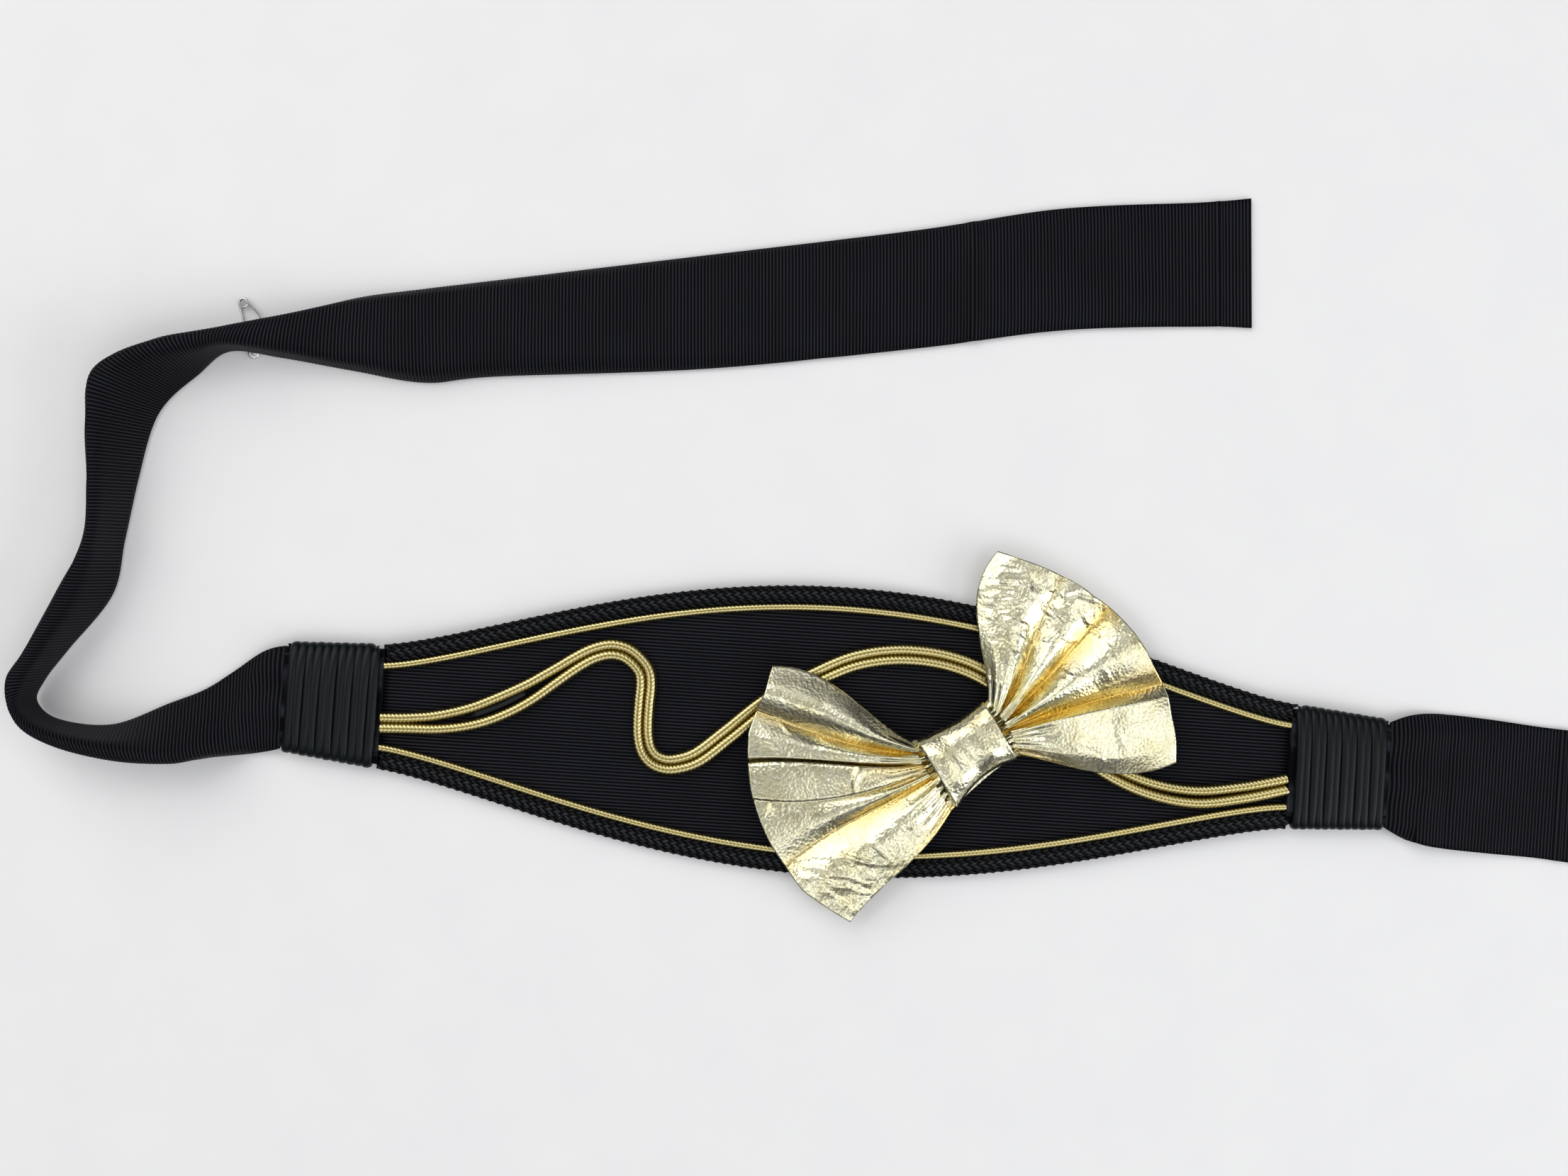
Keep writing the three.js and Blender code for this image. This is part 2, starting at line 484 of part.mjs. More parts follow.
// The pleated leather of the bow: rim to rim through the bunched waist inside the knot.
function bow() {
  const wingSteps = 8;
  const waistSteps = 4;
  const folds = LEFT_WING.length - 1;
  const steps = wingSteps * 2 + waistSteps;
  const wingStart = KNOT_LENGTH / 2 + WING_START;
  const base = PANEL_WALL + WAVE_CORD + 3 * GAP + BOW_WALL / 2;
  const waistHalfWidth = KNOT_HALF_WIDTH * KNOT_WIDTHS[1] - KNOT_WALL - 2 * GAP;
  const waistHalfHeight = KNOT_HEIGHT / 2 - KNOT_WALL - 2 * GAP;
  const tilt = degToRad(BOW_TILT);

  const wing = (table, sign, share, j) => {
    const row = table[j];
    const angle = degToRad(through(row.knot, row.middle, row.rim, share));
    const start = wingStart / Math.cos(degToRad(row.knot));
    const radius = lerp(start, row.reach * BOW_REACH, share);
    const relief = through(row.low, row.mid, row.high, share);
    const swell = WING_SWELL * Math.sin(Math.PI * Math.min(share / WING_SWELL_END, 1));
    const u = sign * radius * Math.cos(angle);
    const mid = base + (relief + swell) * BOW_RELIEF;
    return { u, v: radius * Math.sin(angle), mid, half: BOW_WALL / 2 };
  };
  const waist = (share, j) => {
    const outward = (j / folds) * 2 - 1;
    const round = Math.sqrt(1 - WAIST_ROUNDING * outward * outward);
    const u = lerp(-KNOT_LENGTH / 2, KNOT_LENGTH / 2, share);
    const v = KNOT_HALF_WIDTH * through(...KNOT_SHIFTS, share) + outward * waistHalfWidth;
    return { u, v, mid: KNOT_AXIS, half: waistHalfHeight * round };
  };
  return wall(steps, folds, (along, across, side) => {
    const step = Math.round(along * steps);
    const j = Math.round(across * folds);
    let at;
    if (step <= wingSteps) at = wing(LEFT_WING, -1, 1 - step / wingSteps, j);
    else if (step < wingSteps + waistSteps) at = waist((step - wingSteps - 1) / (waistSteps - 2), j);
    else at = wing(RIGHT_WING, 1, (step - wingSteps - waistSteps) / wingSteps, j);
    return {
      x: BOW_ALONG + at.u * Math.cos(tilt) - at.v * Math.sin(tilt),
      y: BOW_ACROSS + at.u * Math.sin(tilt) + at.v * Math.cos(tilt),
      z: at.mid + (side * 2 - 1) * at.half,
    };
  });
}

// The leather band round the bow's waist.
function knot() {
  const around = 22;
  const half = KNOT_LENGTH / 2;
  const profile = [
    [0, -half], [KNOT_WALL, -half], [KNOT_WALL, -half * 0.5], [KNOT_WALL, 0], [KNOT_WALL, half * 0.5],
    [KNOT_WALL, half], [0, half], [0, 0], [0, -half],
  ];
  const band = new THREE.LatheGeometry(profile.map(([r, y]) => new THREE.Vector2(r + TURNING_RADIUS, y)), around);
  const tilt = degToRad(BOW_TILT);
  return reshape(band, (p) => {
    const turned = Math.atan2(p.x, p.z);
    const depth = Math.hypot(p.x, p.z) - TURNING_RADIUS - KNOT_WALL;
    const share = (p.y + half) / KNOT_LENGTH;
    const halfWidth = KNOT_HALF_WIDTH * through(...KNOT_WIDTHS, share) + depth;
    const shift = KNOT_HALF_WIDTH * through(...KNOT_SHIFTS, share);
    const u = p.y;
    const v = shift - halfWidth * oval(Math.sin(turned), KNOT_OVAL);
    return {
      x: BOW_ALONG + u * Math.cos(tilt) - v * Math.sin(tilt),
      y: BOW_ACROSS + u * Math.sin(tilt) + v * Math.cos(tilt),
      z: KNOT_AXIS + (KNOT_HEIGHT / 2 + depth) * oval(Math.cos(turned), KNOT_OVAL),
    };
  });
}

// Places a piece of the pin, modelled with the tip of its cap at the origin and its coil at +X.
function atPin(geometry) {
  const row = LEFT_STRAP[PIN_ROW];
  const inner = new THREE.Vector2(row.inX, row.inY).multiplyScalar(LEFT_STRAP_LENGTH);
  geometry.rotateZ(degToRad(PIN_TURN));
  return geometry.translate(inner.x - WRAP_END + PIN_ALONG, inner.y + LEFT_DRIFT - PIN_TIP, 0);
}

// One wire from the cap up a straight side, round the coil and back down a sprung side.
function pinWire() {
  const low = PIN_WIRE / 2 + PIN_REST;
  const turnRise = PIN_WIRE + GAP;
  const radius = PIN_COIL / 2 - PIN_WIRE / 2;
  const coil = PIN_LENGTH - PIN_COIL / 2;
  const straight = [
    { along: PIN_CAP_LENGTH + GAP, across: radius * 0.5 },
    { along: coil * 0.6, across: radius * 0.8 },
    { along: coil * 0.85, across: radius * 0.95 },
  ];
  const sprung = [
    { along: coil * 0.72, across: -PIN_SPREAD, rise: 0.5 },
    { along: coil * 0.5, across: -PIN_SPREAD * 0.75, rise: 0.1 },
    { along: PIN_CAP_LENGTH + GAP, across: -radius * 0.5, rise: 0 },
  ];
  const points = straight.map((p) => new THREE.Vector3(p.along, p.across, low));
  const eighths = 12;
  for (let i = 0; i <= eighths; i += 1) {
    const turned = Math.PI / 2 - (i * Math.PI) / 4;
    const x = coil + radius * Math.cos(turned);
    points.push(new THREE.Vector3(x, radius * Math.sin(turned), low + (turnRise * i) / 8));
  }
  const top = points[points.length - 1].z;
  points.push(...sprung.map((p) => new THREE.Vector3(p.along, p.across, lerp(low, top, p.rise))));
  return atPin(tube(new THREE.CatmullRomCurve3(points), PIN_WIRE, 56, 6));
}

function pinCap() {
  const half = PIN_CAP_WIDTH / 2;
  const bevel = PIN_CAP_HEIGHT / 4;
  const outline = new THREE.Shape();
  outline.moveTo(PIN_CAP_LENGTH - bevel, -half * 0.6);
  outline.lineTo(PIN_CAP_LENGTH - bevel, half * 0.6);
  outline.lineTo(PIN_CAP_LENGTH * 0.5, half - bevel);
  outline.quadraticCurveTo(bevel, half - bevel, bevel, 0);
  outline.quadraticCurveTo(bevel, bevel - half, PIN_CAP_LENGTH * 0.5, bevel - half);
  outline.closePath();
  const cap = new THREE.ExtrudeGeometry(outline, {
    depth: PIN_CAP_HEIGHT - 2 * bevel,
    bevelThickness: bevel,
    bevelSize: bevel,
    bevelSegments: 1,
    curveSegments: 5,
  });
  return atPin(cap.translate(0, 0, bevel + PIN_REST));
}

add('front_panel', frontPanel(), finish.grosgrain);
add('edge_braid_top', edgeBraid(true), finish.plait);
add('edge_braid_bottom', edgeBraid(false), finish.plait);
add('border_cord_top', borderCord(true), finish.goldCord);
add('border_cord_bottom', borderCord(false), finish.goldCord);
add('wave_cord_upper', waveCord(1), finish.goldCord);
add('wave_cord_lower', waveCord(-1), finish.goldCord);
add('wave_core_cord', coreCord(), finish.plait);
add('wrap_left', neckWrap(-1, LEFT_DRIFT), finish.satinCord);
add('wrap_right', neckWrap(1, RIGHT_DRIFT), finish.satinCord);
add('strap_left', strap(LEFT_STRAP, LEFT_STRAP_LENGTH, -1, LEFT_DRIFT, 2), finish.grosgrain);
add('strap_right', strap(RIGHT_STRAP, RIGHT_STRAP_LENGTH, 1, RIGHT_DRIFT, 2), finish.grosgrain);
add('bow', bow(), finish.goldLeather);
add('bow_knot', knot(), finish.goldLeather);
add('safety_pin_wire', pinWire(), finish.steel);
add('safety_pin_cap', pinCap(), finish.steel);

export default belt;
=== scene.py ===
"""A woman's bow belt laid flat.

Ribbed front panel with plaited edges and gold cords, pleated leather bow, necks wound with satin
cord, ribbon straps and a safety pin.
"""

import math

import bpy
import numpy as np
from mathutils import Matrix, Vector, noise


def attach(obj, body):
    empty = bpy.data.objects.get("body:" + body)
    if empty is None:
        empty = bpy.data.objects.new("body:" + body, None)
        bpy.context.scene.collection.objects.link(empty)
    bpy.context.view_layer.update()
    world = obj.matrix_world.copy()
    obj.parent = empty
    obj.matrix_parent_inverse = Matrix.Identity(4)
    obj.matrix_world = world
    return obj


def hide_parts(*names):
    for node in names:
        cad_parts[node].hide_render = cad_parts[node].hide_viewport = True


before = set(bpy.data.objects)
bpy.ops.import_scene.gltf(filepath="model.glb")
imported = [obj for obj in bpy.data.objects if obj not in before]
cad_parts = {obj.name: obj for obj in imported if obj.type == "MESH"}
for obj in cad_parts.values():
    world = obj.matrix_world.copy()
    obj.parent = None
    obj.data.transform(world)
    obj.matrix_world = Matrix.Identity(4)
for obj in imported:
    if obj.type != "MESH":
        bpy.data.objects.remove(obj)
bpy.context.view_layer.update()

# Sizes in millimetres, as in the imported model; scene units are metres.
MM = 0.001
PANEL_END = 175
PANEL_TOP = 57.2
PANEL_BOTTOM = 53.7
NECK_HALF = 23.9
PANEL_WALL = 2.6
NECK_RAMP = 60
NECK_LIFT = 1.5
OUTLINE_POWER = 1.4
BRAID_WIDTH = 6.8
BRAID_THICKNESS = 2.3
BRAID_OVERHANG = 1
BORDER_CORD = 2.9
BORDER_INSET = 8.3
WAVE_CORD = 3.8
CORE_CORD = 2.4
WRAP_LENGTH = 37.4
WRAP_HALF_HEIGHT = 5.2
WRAP_HALF_WIDTH = 24.7
WRAP_OUTER_HALF_WIDTH = 21.7
WRAP_WALL = 2.5
WRAP_END = PANEL_END + WRAP_LENGTH
WRAP_OVAL = 0.7
STRAP_WIDTH = 50
STRAP_WALL = 1.4
LEFT_STRAP_LENGTH = 690
RIGHT_STRAP_LENGTH = 74
LEFT_DRIFT = 1.5
RIGHT_DRIFT = -0.8
BOW_REACH = 83
BOW_RELIEF = 6
BOW_WALL = 1.5
BOW_TILT = math.radians(34.6)
BOW_ALONG = 50.8
BOW_ACROSS = -2.2
KNOT_LENGTH = 29
KNOT_HALF_WIDTH = 15.2
KNOT_HEIGHT = 16
KNOT_WALL = 1.6
KNOT_OVAL = 0.92
PIN_LENGTH = 24
PIN_WIRE = 0.85
PIN_COIL = 4.2
PIN_SPREAD = 5.2
PIN_TURN = math.radians(105)
PIN_CAP_LENGTH = 5
GAP = 0.3
TRIM_END = PANEL_END - 3 * GAP
KNOT_AXIS = PANEL_WALL + GAP + KNOT_HEIGHT / 2

# Wave cords: along, across and apart, as shares of the panel and of the cord.
WAVE = [
    (-1.002, -0.108, 1.09), (-0.93, -0.096, 1.09), (-0.871, -0.078, 1.45), (-0.797, -0.023, 1.8),
    (-0.733, 0.063, 1.95), (-0.677, 0.162, 1.7), (-0.631, 0.263, 1.3), (-0.57, 0.397, 1.09),
    (-0.538, 0.451, 1.09), (-0.502, 0.48, 1.09), (-0.47, 0.463, 1.09), (-0.444, 0.409, 1.09),
    (-0.428, 0.347, 1.09), (-0.423, 0.27, 1.09), (-0.424, 0.14, 1.09), (-0.424, 0.005, 1.09),
    (-0.421, -0.09, 1.09), (-0.412, -0.175, 1.09), (-0.394, -0.235, 1.09), (-0.366, -0.261, 1.09),
    (-0.337, -0.249, 1.09), (-0.302, -0.205, 1.09), (-0.236, -0.035, 1.09), (-0.155, 0.185, 1.09),
    (-0.054, 0.38, 1.09), (0.041, 0.519, 1.09), (0.152, 0.575, 1.09), (0.27, 0.53, 1.09),
    (0.39, 0.355, 1.09), (0.51, 0.09, 1.09), (0.605, -0.105, 1.09), (0.7, -0.212, 1.2),
    (0.8, -0.246, 1.3), (0.9, -0.198, 1.2), (1.002, -0.12, 1.09),
]

# Strap sections: inner edge, outer edge (shares of the length), rise, fall, height, lift.
LEFT_STRAP = [
    (-0.002, 0.03, -0.002, -0.031, 0.1, 0.1, 0.02, 0.08),
    (-0.014, 0.023, -0.01, -0.032, 0.15, 0.15, 0.07, 0.03),
    (-0.029, 0.011, -0.024, -0.034, 0.6, 0.05, 0.18, 0),
    (-0.044, 0, -0.037, -0.036, 0.75, 0.05, 0.34, 0),
    (-0.063, -0.009, -0.054, -0.039, 0.8, 0, 0.46, 0),
    (-0.094, -0.023, -0.083, -0.039, 0.5, 0, 0.54, 0),
    (-0.125, -0.022, -0.116, -0.033, 0.3, 0, 0.56, 0),
    (-0.138, -0.012, -0.136, -0.022, 0.15, 0, 0.56, 0),
    (-0.134, 0.001, -0.144, -0.001, 0.25, 0, 0.54, 0),
    (-0.1225, 0.018, -0.136, 0.016, 0.4, 0, 0.52, 0),
    (-0.1, 0.05, -0.121, 0.048, 0.5, 0, 0.52, 0),
    (-0.095, 0.081, -0.107, 0.08, 0.6, 0, 0.54, 0),
    (-0.09, 0.114, -0.107, 0.112, 0.7, 0, 0.54, 0),
    (-0.084, 0.144, -0.11, 0.146, 0.75, 0, 0.54, 0),
    (-0.076, 0.16, -0.107, 0.173, 0.75, 0, 0.54, 0),
    (-0.061, 0.175, -0.075, 0.191, 0.6, 0, 0.52, 0),
    (-0.043, 0.19, -0.038, 0.2015, 0.12, 0.08, 0.44, 0.03),
    (-0.013, 0.1885, -0.01, 0.211, 0.1, 0.1, 0.33, 0.03),
    (0.027, 0.184, 0.026, 0.223, 0.08, 0.08, 0.22, 0),
    (0.067, 0.18, 0.063, 0.2305, 0.08, 0.08, 0.17, 0),
    (0.106, 0.186, 0.103, 0.238, 0.08, 0.08, 0.14, 0),
    (0.224, 0.198, 0.22, 0.26, 0.1, 0.1, 0.09, 0),
    (0.341, 0.217, 0.337, 0.282, 0.12, 0.12, 0.07, 0),
    (0.42, 0.232, 0.415, 0.299, 0.12, 0.12, 0.05, 0),
    (0.498, 0.239, 0.493, 0.308, 0.12, 0.12, 0, 0),
    (0.525, 0.24, 0.52, 0.312, 0.12, 0.12, 0, 0),
]
PIN_ROW = 16
RIGHT_STRAP = [
    (0.02, 0.29, 0.02, -0.29, 0.1, 0.1, 0.02, 0.08),
    (0.12, 0.315, 0.12, -0.33, 0.1, 0.1, 0.07, 0.04),
    (0.26, 0.325, 0.26, -0.36, 0.1, 0.1, 0.08, 0),
    (0.52, 0.315, 0.52, -0.375, 0.1, 0.1, 0.04, 0),
    (0.8, 0.295, 0.8, -0.385, 0.1, 0.1, 0, 0),
    (1, 0.285, 1, -0.4, 0.1, 0.1, 0, 0),
]

# Fold lines of each wing, lower edge to upper: angles at knot, middle and rim, reach, relief at
# the three places, whether the fold is sharp, and how much deep gold is painted at knot and rim: painted
# shade and painted reflection of gold light between the folds.
LEFT_WING = [
    (-44, -30, -24.6, 0.95, 0.3, 0.3, 0.05, 0, 0.9, 0.2),
    (-32, -22, -17, 0.965, 0.5, 0.55, 0.25, 0, 0.3, 0.1),
    (-19, -12, -9, 0.99, 0.65, 0.75, 0.5, 0, 0, 0),
    (-5, 0, -1.5, 0.99, 0.05, 0, 0.2, 1, 1, 0.7),
    (0, 5, 6, 1, 0.5, 0.5, 0.45, 0, 0.3, 0),
    (6.5, 11.2, 18.8, 1.01, 0.2, 0.3, 0.4, 1, 0.9, 0.1),
    (7.5, 11.5, 18.8, 1.01, 0.6, 0.9, 0.9, 1, 0.5, 0),
    (15.5, 25.6, 27.8, 1.01, 0.5, 0.85, 0.75, 0, 0.9, 0),
    (17.5, 27, 29, 1.01, 0.05, 0.05, 0, 1, 0.9, 0.7),
    (19.5, 27.2, 29.2, 1.01, 0.7, 0.8, 0.75, 1, 0.1, 0),
    (24, 32, 36, 1.01, 0.75, 0.75, 0.65, 0, 0.1, 0),
    (27, 36, 41.5, 0.99, 0.1, 0.1, 0.25, 1, 1, 0.8),
    (33, 45, 47.5, 0.97, 0.9, 1.05, 0.85, 0, 0, 0),
    (42, 56.5, 54.5, 0.98, 0.2, 0.25, 0.3, 0, 0.2, 0),
]
RIGHT_WING = [
    (-35, -40, -33.8, 0.956, 0.3, 0.1, 0.15, 0, 0.9, 0.1),
    (-24, -33, -28, 0.956, 0.7, 0.65, 0.4, 0, 0.5, 0),
    (-13, -20, -21, 0.946, 0.6, 0.8, 0.6, 0, 0, 0),
    (-7, -12.4, -15.4, 0.946, 0.75, 0.95, 0.9, 1, 0, 0),
    (-4, -8.8, -11.5, 0.946, 0.05, 0.05, 0.2, 1, 1, 0.9),
    (-0.5, -5, -7.3, 0.936, 0.35, 0.45, 0.55, 0, 1, 0.7),
    (4, 3.5, 3, 0.936, 0.85, 1, 0.85, 0, 0, 0),
    (9, 12.8, 15, 0.926, 0, 0, 0.5, 1, 1, 0.9),
    (12.5, 19, 21, 0.916, 0.6, 0.75, 0.75, 0, 0.1, 0.2),
    (14.5, 23, 26, 0.916, 0.55, 0.65, 0.8, 0, 0.1, 0),
    (17.5, 28, 31, 0.912, 0, 0.1, 0.7, 1, 1, 0.6),
    (22, 35, 37, 0.912, 0.75, 0.85, 0.8, 0, 0.2, 0),
    (29, 46, 45, 0.916, 0.85, 0.75, 0.65, 0, 0, 0),
    (39, 55.3, 50.8, 0.93, 0.4, 0.2, 0.3, 0, 0.4, 0),
]

# Creases pressed into the leather: from and to along and across the bow, width and height.
CREASES = [
    (-37.6, 18.6, -45.5, 8.7, 1.1, 0.8), (-72.2, 21.4, -79.1, 17.6, 0.9, -0.5),
    (-78.5, -1.2, -65.9, -6.7, 0.7, 0.4), (-76.4, -4.4, -62.9, -17.1, 0.8, 0.55),
    (-65.6, -6.3, -53.5, -16.8, 0.8, 0.5), (-71.8, -9.9, -57.8, -24.1, 0.7, 0.45),
    (-61.4, -10.1, -46.6, -22.9, 0.8, 0.5), (-77.5, -8.4, -67.2, -19.9, 0.7, 0.4),
    (-69.8, -17.6, -59.6, -27.0, 0.8, 0.4), (-80.0, -1.6, -78.3, -11.9, 0.8, 0.4),
    (-55.2, -2.0, -54.0, -6.6, 0.6, 0.3), (-51.5, -6.8, -45.0, -22.5, 1.0, 0.4),
    (-75.5, -16.2, -67.3, -29.0, 0.9, 0.35), (-57.7, 49.0, -53.0, 40.3, 0.9, 0.5),
    (-39.3, 13.6, -27.3, 7.1, 0.7, -0.5), (-41.1, 9.4, -28.2, 5.7, 0.7, 0.4),
    (-39.6, -4.6, -32.6, -19.4, 1.4, -0.4), (-27.8, -2.5, -26.6, -13.7, 1.6, -0.4),
    (-40.6, 2.5, -49.3, 1.2, 1.2, 0.3), (-64.8, 46.0, -60.3, 38.1, 1.4, 0.3),
    (38.4, 50.4, 53.3, 42.8, 0.7, 0.5), (35.5, 48.2, 46.4, 42.3, 0.6, 0.4),
    (36.9, 44.0, 49.2, 38.0, 0.7, 0.5), (32.1, 40.3, 39.8, 31.1, 0.6, 0.45),
    (36.2, 37.2, 44.5, 30.2, 0.6, 0.4), (38.0, 28.2, 43.1, 21.2, 0.6, 0.35),
    (29.3, 33.4, 35.7, 24.3, 0.8, -0.4), (54.5, 44.7, 46.3, 36.4, 0.7, 0.5),
    (52.4, 36.7, 55.3, 21.8, 0.7, 0.55), (54.7, 34.0, 55.3, 28.4, 0.7, 0.45),
    (50.3, 28.8, 42.9, 25.3, 0.7, 0.5), (61.7, 32.5, 71.8, 25.1, 0.8, 0.5),
    (64.4, 34.8, 59.3, 30.6, 0.7, 0.4), (63.1, 23.7, 65.6, 17.0, 0.8, 0.5),
    (51.6, 20.0, 58.6, 13.9, 0.6, 0.35), (62.5, 16.2, 67.5, 11.2, 0.6, 0.4),
    (68.7, 17.7, 76.5, 6.5, 0.8, -0.4), (66.0, 8.8, 67.0, 1.6, 0.7, 0.35),
    (45.3, 9.3, 51.3, 1.8, 0.7, 0.4), (39.6, 8.7, 46.1, 4.2, 0.6, 0.4),
    (35.2, 10.1, 38.5, 6.8, 0.6, 0.4), (19.2, 20.9, 27.2, 12.2, 0.9, 0.55),
    (20.4, 16.3, 26.4, 8.7, 0.7, 0.45), (23.9, 8.9, 26.2, -0.4, 0.8, 0.5),
    (59.6, 4.7, 60.0, -3.5, 0.8, 0.3), (45.2, 22.5, 49.7, 21.2, 0.6, 0.4),
    (44.4, 52.1, 56.6, 46.1, 1.2, 0.4), (34.1, 43.7, 46.2, 35.2, 0.8, -0.4),
    (56.5, 36.9, 61.5, 36.6, 0.7, 0.4), (36.1, 22.7, 36.7, 17.1, 0.6, 0.4),
    (38.8, 18.4, 41.4, 11.7, 0.6, 0.35), (75.8, 9.6, 77.9, -2.3, 1.2, 0.25),
    (36.0, -19.4, 43.4, -29.1, 1.4, 0.25), (53.1, -21.7, 51.4, -31.3, 1.2, 0.2),
]


# Shaping

def blank():
    """Nothing selected, in object mode."""
    bpy.ops.object.select_all(action="DESELECT")


def pick(piece):
    blank()
    piece.select_set(True)
    bpy.context.view_layer.objects.active = piece


def corners(piece):
    """The places of a piece's vertices in millimetres."""
    mesh = piece.data
    at = np.empty(len(mesh.vertices) * 3)
    mesh.vertices.foreach_get("co", at)
    return at.reshape(-1, 3) / MM


def move_to(piece, places):
    piece.data.vertices.foreach_set("co", (np.asarray(places) * MM).ravel())
    piece.data.update()


def sheet_of(name, steps, columns, place):
    """A sheet of faces; place takes shares along and across and gives places in millimetres."""
    blank()
    bpy.ops.mesh.primitive_grid_add(x_subdivisions=steps, y_subdivisions=columns, size=1)
    piece = bpy.context.object
    piece.name = piece.data.name = name
    start = corners(piece) * MM
    move_to(piece, place(start[:, 0] + 0.5, start[:, 1] + 0.5))
    return piece


def apply_all(piece):
    pick(piece)
    for modifier in list(piece.modifiers):
        bpy.ops.object.modifier_apply(modifier=modifier.name)


def thicken(piece, wall):
    """Gives a sheet its wall, below its upper face."""
    solid = piece.modifiers.new("wall", "SOLIDIFY")
    solid.thickness = wall * MM
    solid.offset = -1
    apply_all(piece)


def in_edit(piece, *steps):
    """Runs mesh operators on all of a piece."""
    pick(piece)
    bpy.ops.object.mode_set(mode="EDIT")
    bpy.ops.mesh.select_all(action="SELECT")
    for step in steps:
        step()
    bpy.ops.object.mode_set(mode="OBJECT")


def close_up(piece):
    """Joins a rolled sheet's seam, closes its ends and points its faces out."""
    in_edit(
        piece,
        lambda: bpy.ops.mesh.remove_doubles(threshold=1e-6),
        lambda: bpy.ops.mesh.fill_holes(sides=0),
        lambda: bpy.ops.mesh.normals_make_consistent(inside=False),
    )


def face_up(piece):
    in_edit(piece, lambda: bpy.ops.mesh.normals_make_consistent(inside=False))


def smooth(piece, angle=None):
    pick(piece)
    if angle is None:
        bpy.ops.object.shade_smooth()
    else:
        bpy.ops.object.shade_smooth_by_angle(angle=math.radians(angle))


def join(name, pieces):
    blank()
    for piece in pieces:
        piece.select_set(True)
    bpy.context.view_layer.objects.active = pieces[0]
    bpy.ops.object.join()
    pieces[0].name = pieces[0].data.name = name
    return pieces[0]


def paint(piece, name, values):
    """Stores a value for each vertex, for the finish to read."""
    spot = piece.data.attributes.new(name, "FLOAT", "POINT")
    spot.data.foreach_set("value", np.asarray(values, np.float32))


def settle(piece, look, replaced):
    piece.data.materials.clear()
    piece.data.materials.append(look)
    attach(piece, "root")
    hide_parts(*replaced)


# Curves and outlines

def spline(values, share):
    """A smooth line through evenly spaced values, read at shares from 0 to 1."""
    values = np.asarray(values, float)
    last = len(values) - 1
    at = np.clip(share, 0, 1) * last
    i = np.minimum(np.floor(at).astype(int), last - 1)
    t = at - i
    before, here = values[np.maximum(i - 1, 0)], values[i]
    there, after = values[i + 1], values[np.minimum(i + 2, last)]
    leave, arrive = (there - before) / 2, (after - here) / 2
    cubic = 2 * here - 2 * there + leave + arrive
    square = -3 * here + 3 * there - 2 * leave - arrive
    return ((cubic * t + square) * t + leave) * t + here


def route(points, count):
    """Places along a smooth curve through points, evenly spaced by length."""
    p = np.asarray(points, float)
    p = np.vstack([2 * p[0] - p[1], p, 2 * p[-1] - p[-2]])
    gap = np.linalg.norm(np.diff(p, axis=0), axis=1)[:, None] ** 0.5
    made = []
    share = np.linspace(0, 1, 24, endpoint=False)[:, None]
    for i in range(1, len(p) - 2):
        d0, d1, d2 = gap[i - 1], gap[i], gap[i + 1]
        leave = ((p[i] - p[i - 1]) / d0 - (p[i + 1] - p[i - 1]) / (d0 + d1) + (p[i + 1] - p[i]) / d1) * d1
        arrive = ((p[i + 1] - p[i]) / d1 - (p[i + 2] - p[i]) / (d1 + d2) + (p[i + 2] - p[i + 1]) / d2) * d1
        square = -3 * p[i] + 3 * p[i + 1] - 2 * leave - arrive
        cubic = 2 * p[i] - 2 * p[i + 1] + leave + arrive
        made.append(((cubic * share + square) * share + leave) * share + p[i])
    made = np.vstack(made + [p[-2:-1]])
    return evenly(made, count)


def evenly(places, count):
    step = np.linalg.norm(np.diff(places, axis=0), axis=1)
    run = np.concatenate([[0], np.cumsum(step)])
    at = np.linspace(0, run[-1], count + 1)
    return np.stack([np.interp(at, run, places[:, k]) for k in range(places.shape[1])], 1)


def length_of(places):
    return float(np.linalg.norm(np.diff(places, axis=0), axis=1).sum())


def unit(vectors):
    return vectors / np.maximum(np.linalg.norm(vectors, axis=-1, keepdims=True), 1e-9)


def half_height(x, peak):
    share = np.clip(np.abs(x) / PANEL_END, 0, 1)
    return NECK_HALF + (peak - NECK_HALF) * (1 - share * share) ** OUTLINE_POWER


def panel_back(x):
    share = np.clip((np.abs(x) - PANEL_END + NECK_RAMP) / NECK_RAMP, 0, 1)
    return NECK_LIFT * share * share * (3 - 2 * share)


def panel_front(x):
    return panel_back(x) + PANEL_WALL


def panel_edge(x, side):
    return side * half_height(x, PANEL_TOP if side > 0 else PANEL_BOTTOM)


def along_edge(side, inset, height, count):
    """Places a set distance inside the panel's upper (1) or lower (-1) edge."""
    x = np.linspace(-TRIM_END, TRIM_END, 97)
    slope = (panel_edge(x + 1, side) - panel_edge(x - 1, side)) / 2
    y = panel_edge(x, side) - side * inset * np.hypot(1, slope)
    return evenly(np.stack([x, y, panel_front(x) + GAP + height], 1), count)


def swept(name, centre, sides, radius, up=(0, 0, 1), flat=1):
    """A closed tube along centre. radius takes shares along and around, flat scales its height."""
    steps = len(centre) - 1
    heading = unit(np.gradient(centre, axis=0))
    up = np.broadcast_to(np.asarray(up, float), centre.shape)
    side = unit(np.cross(up, heading))
    top = np.cross(heading, side)

    def place(along, around):
        i = np.rint(along * steps).astype(int)
        turn = 2 * np.pi * around
        r = radius(along, around)
        across = (r * np.cos(turn))[:, None] * side[i]
        return centre[i] + across + (flat * r * np.sin(turn))[:, None] * top[i]

    tube = sheet_of(name, steps, sides, place)
    close_up(tube)
    smooth(tube)
    return tube


def oval(value, power):
    return np.sign(value) * np.abs(value) ** power


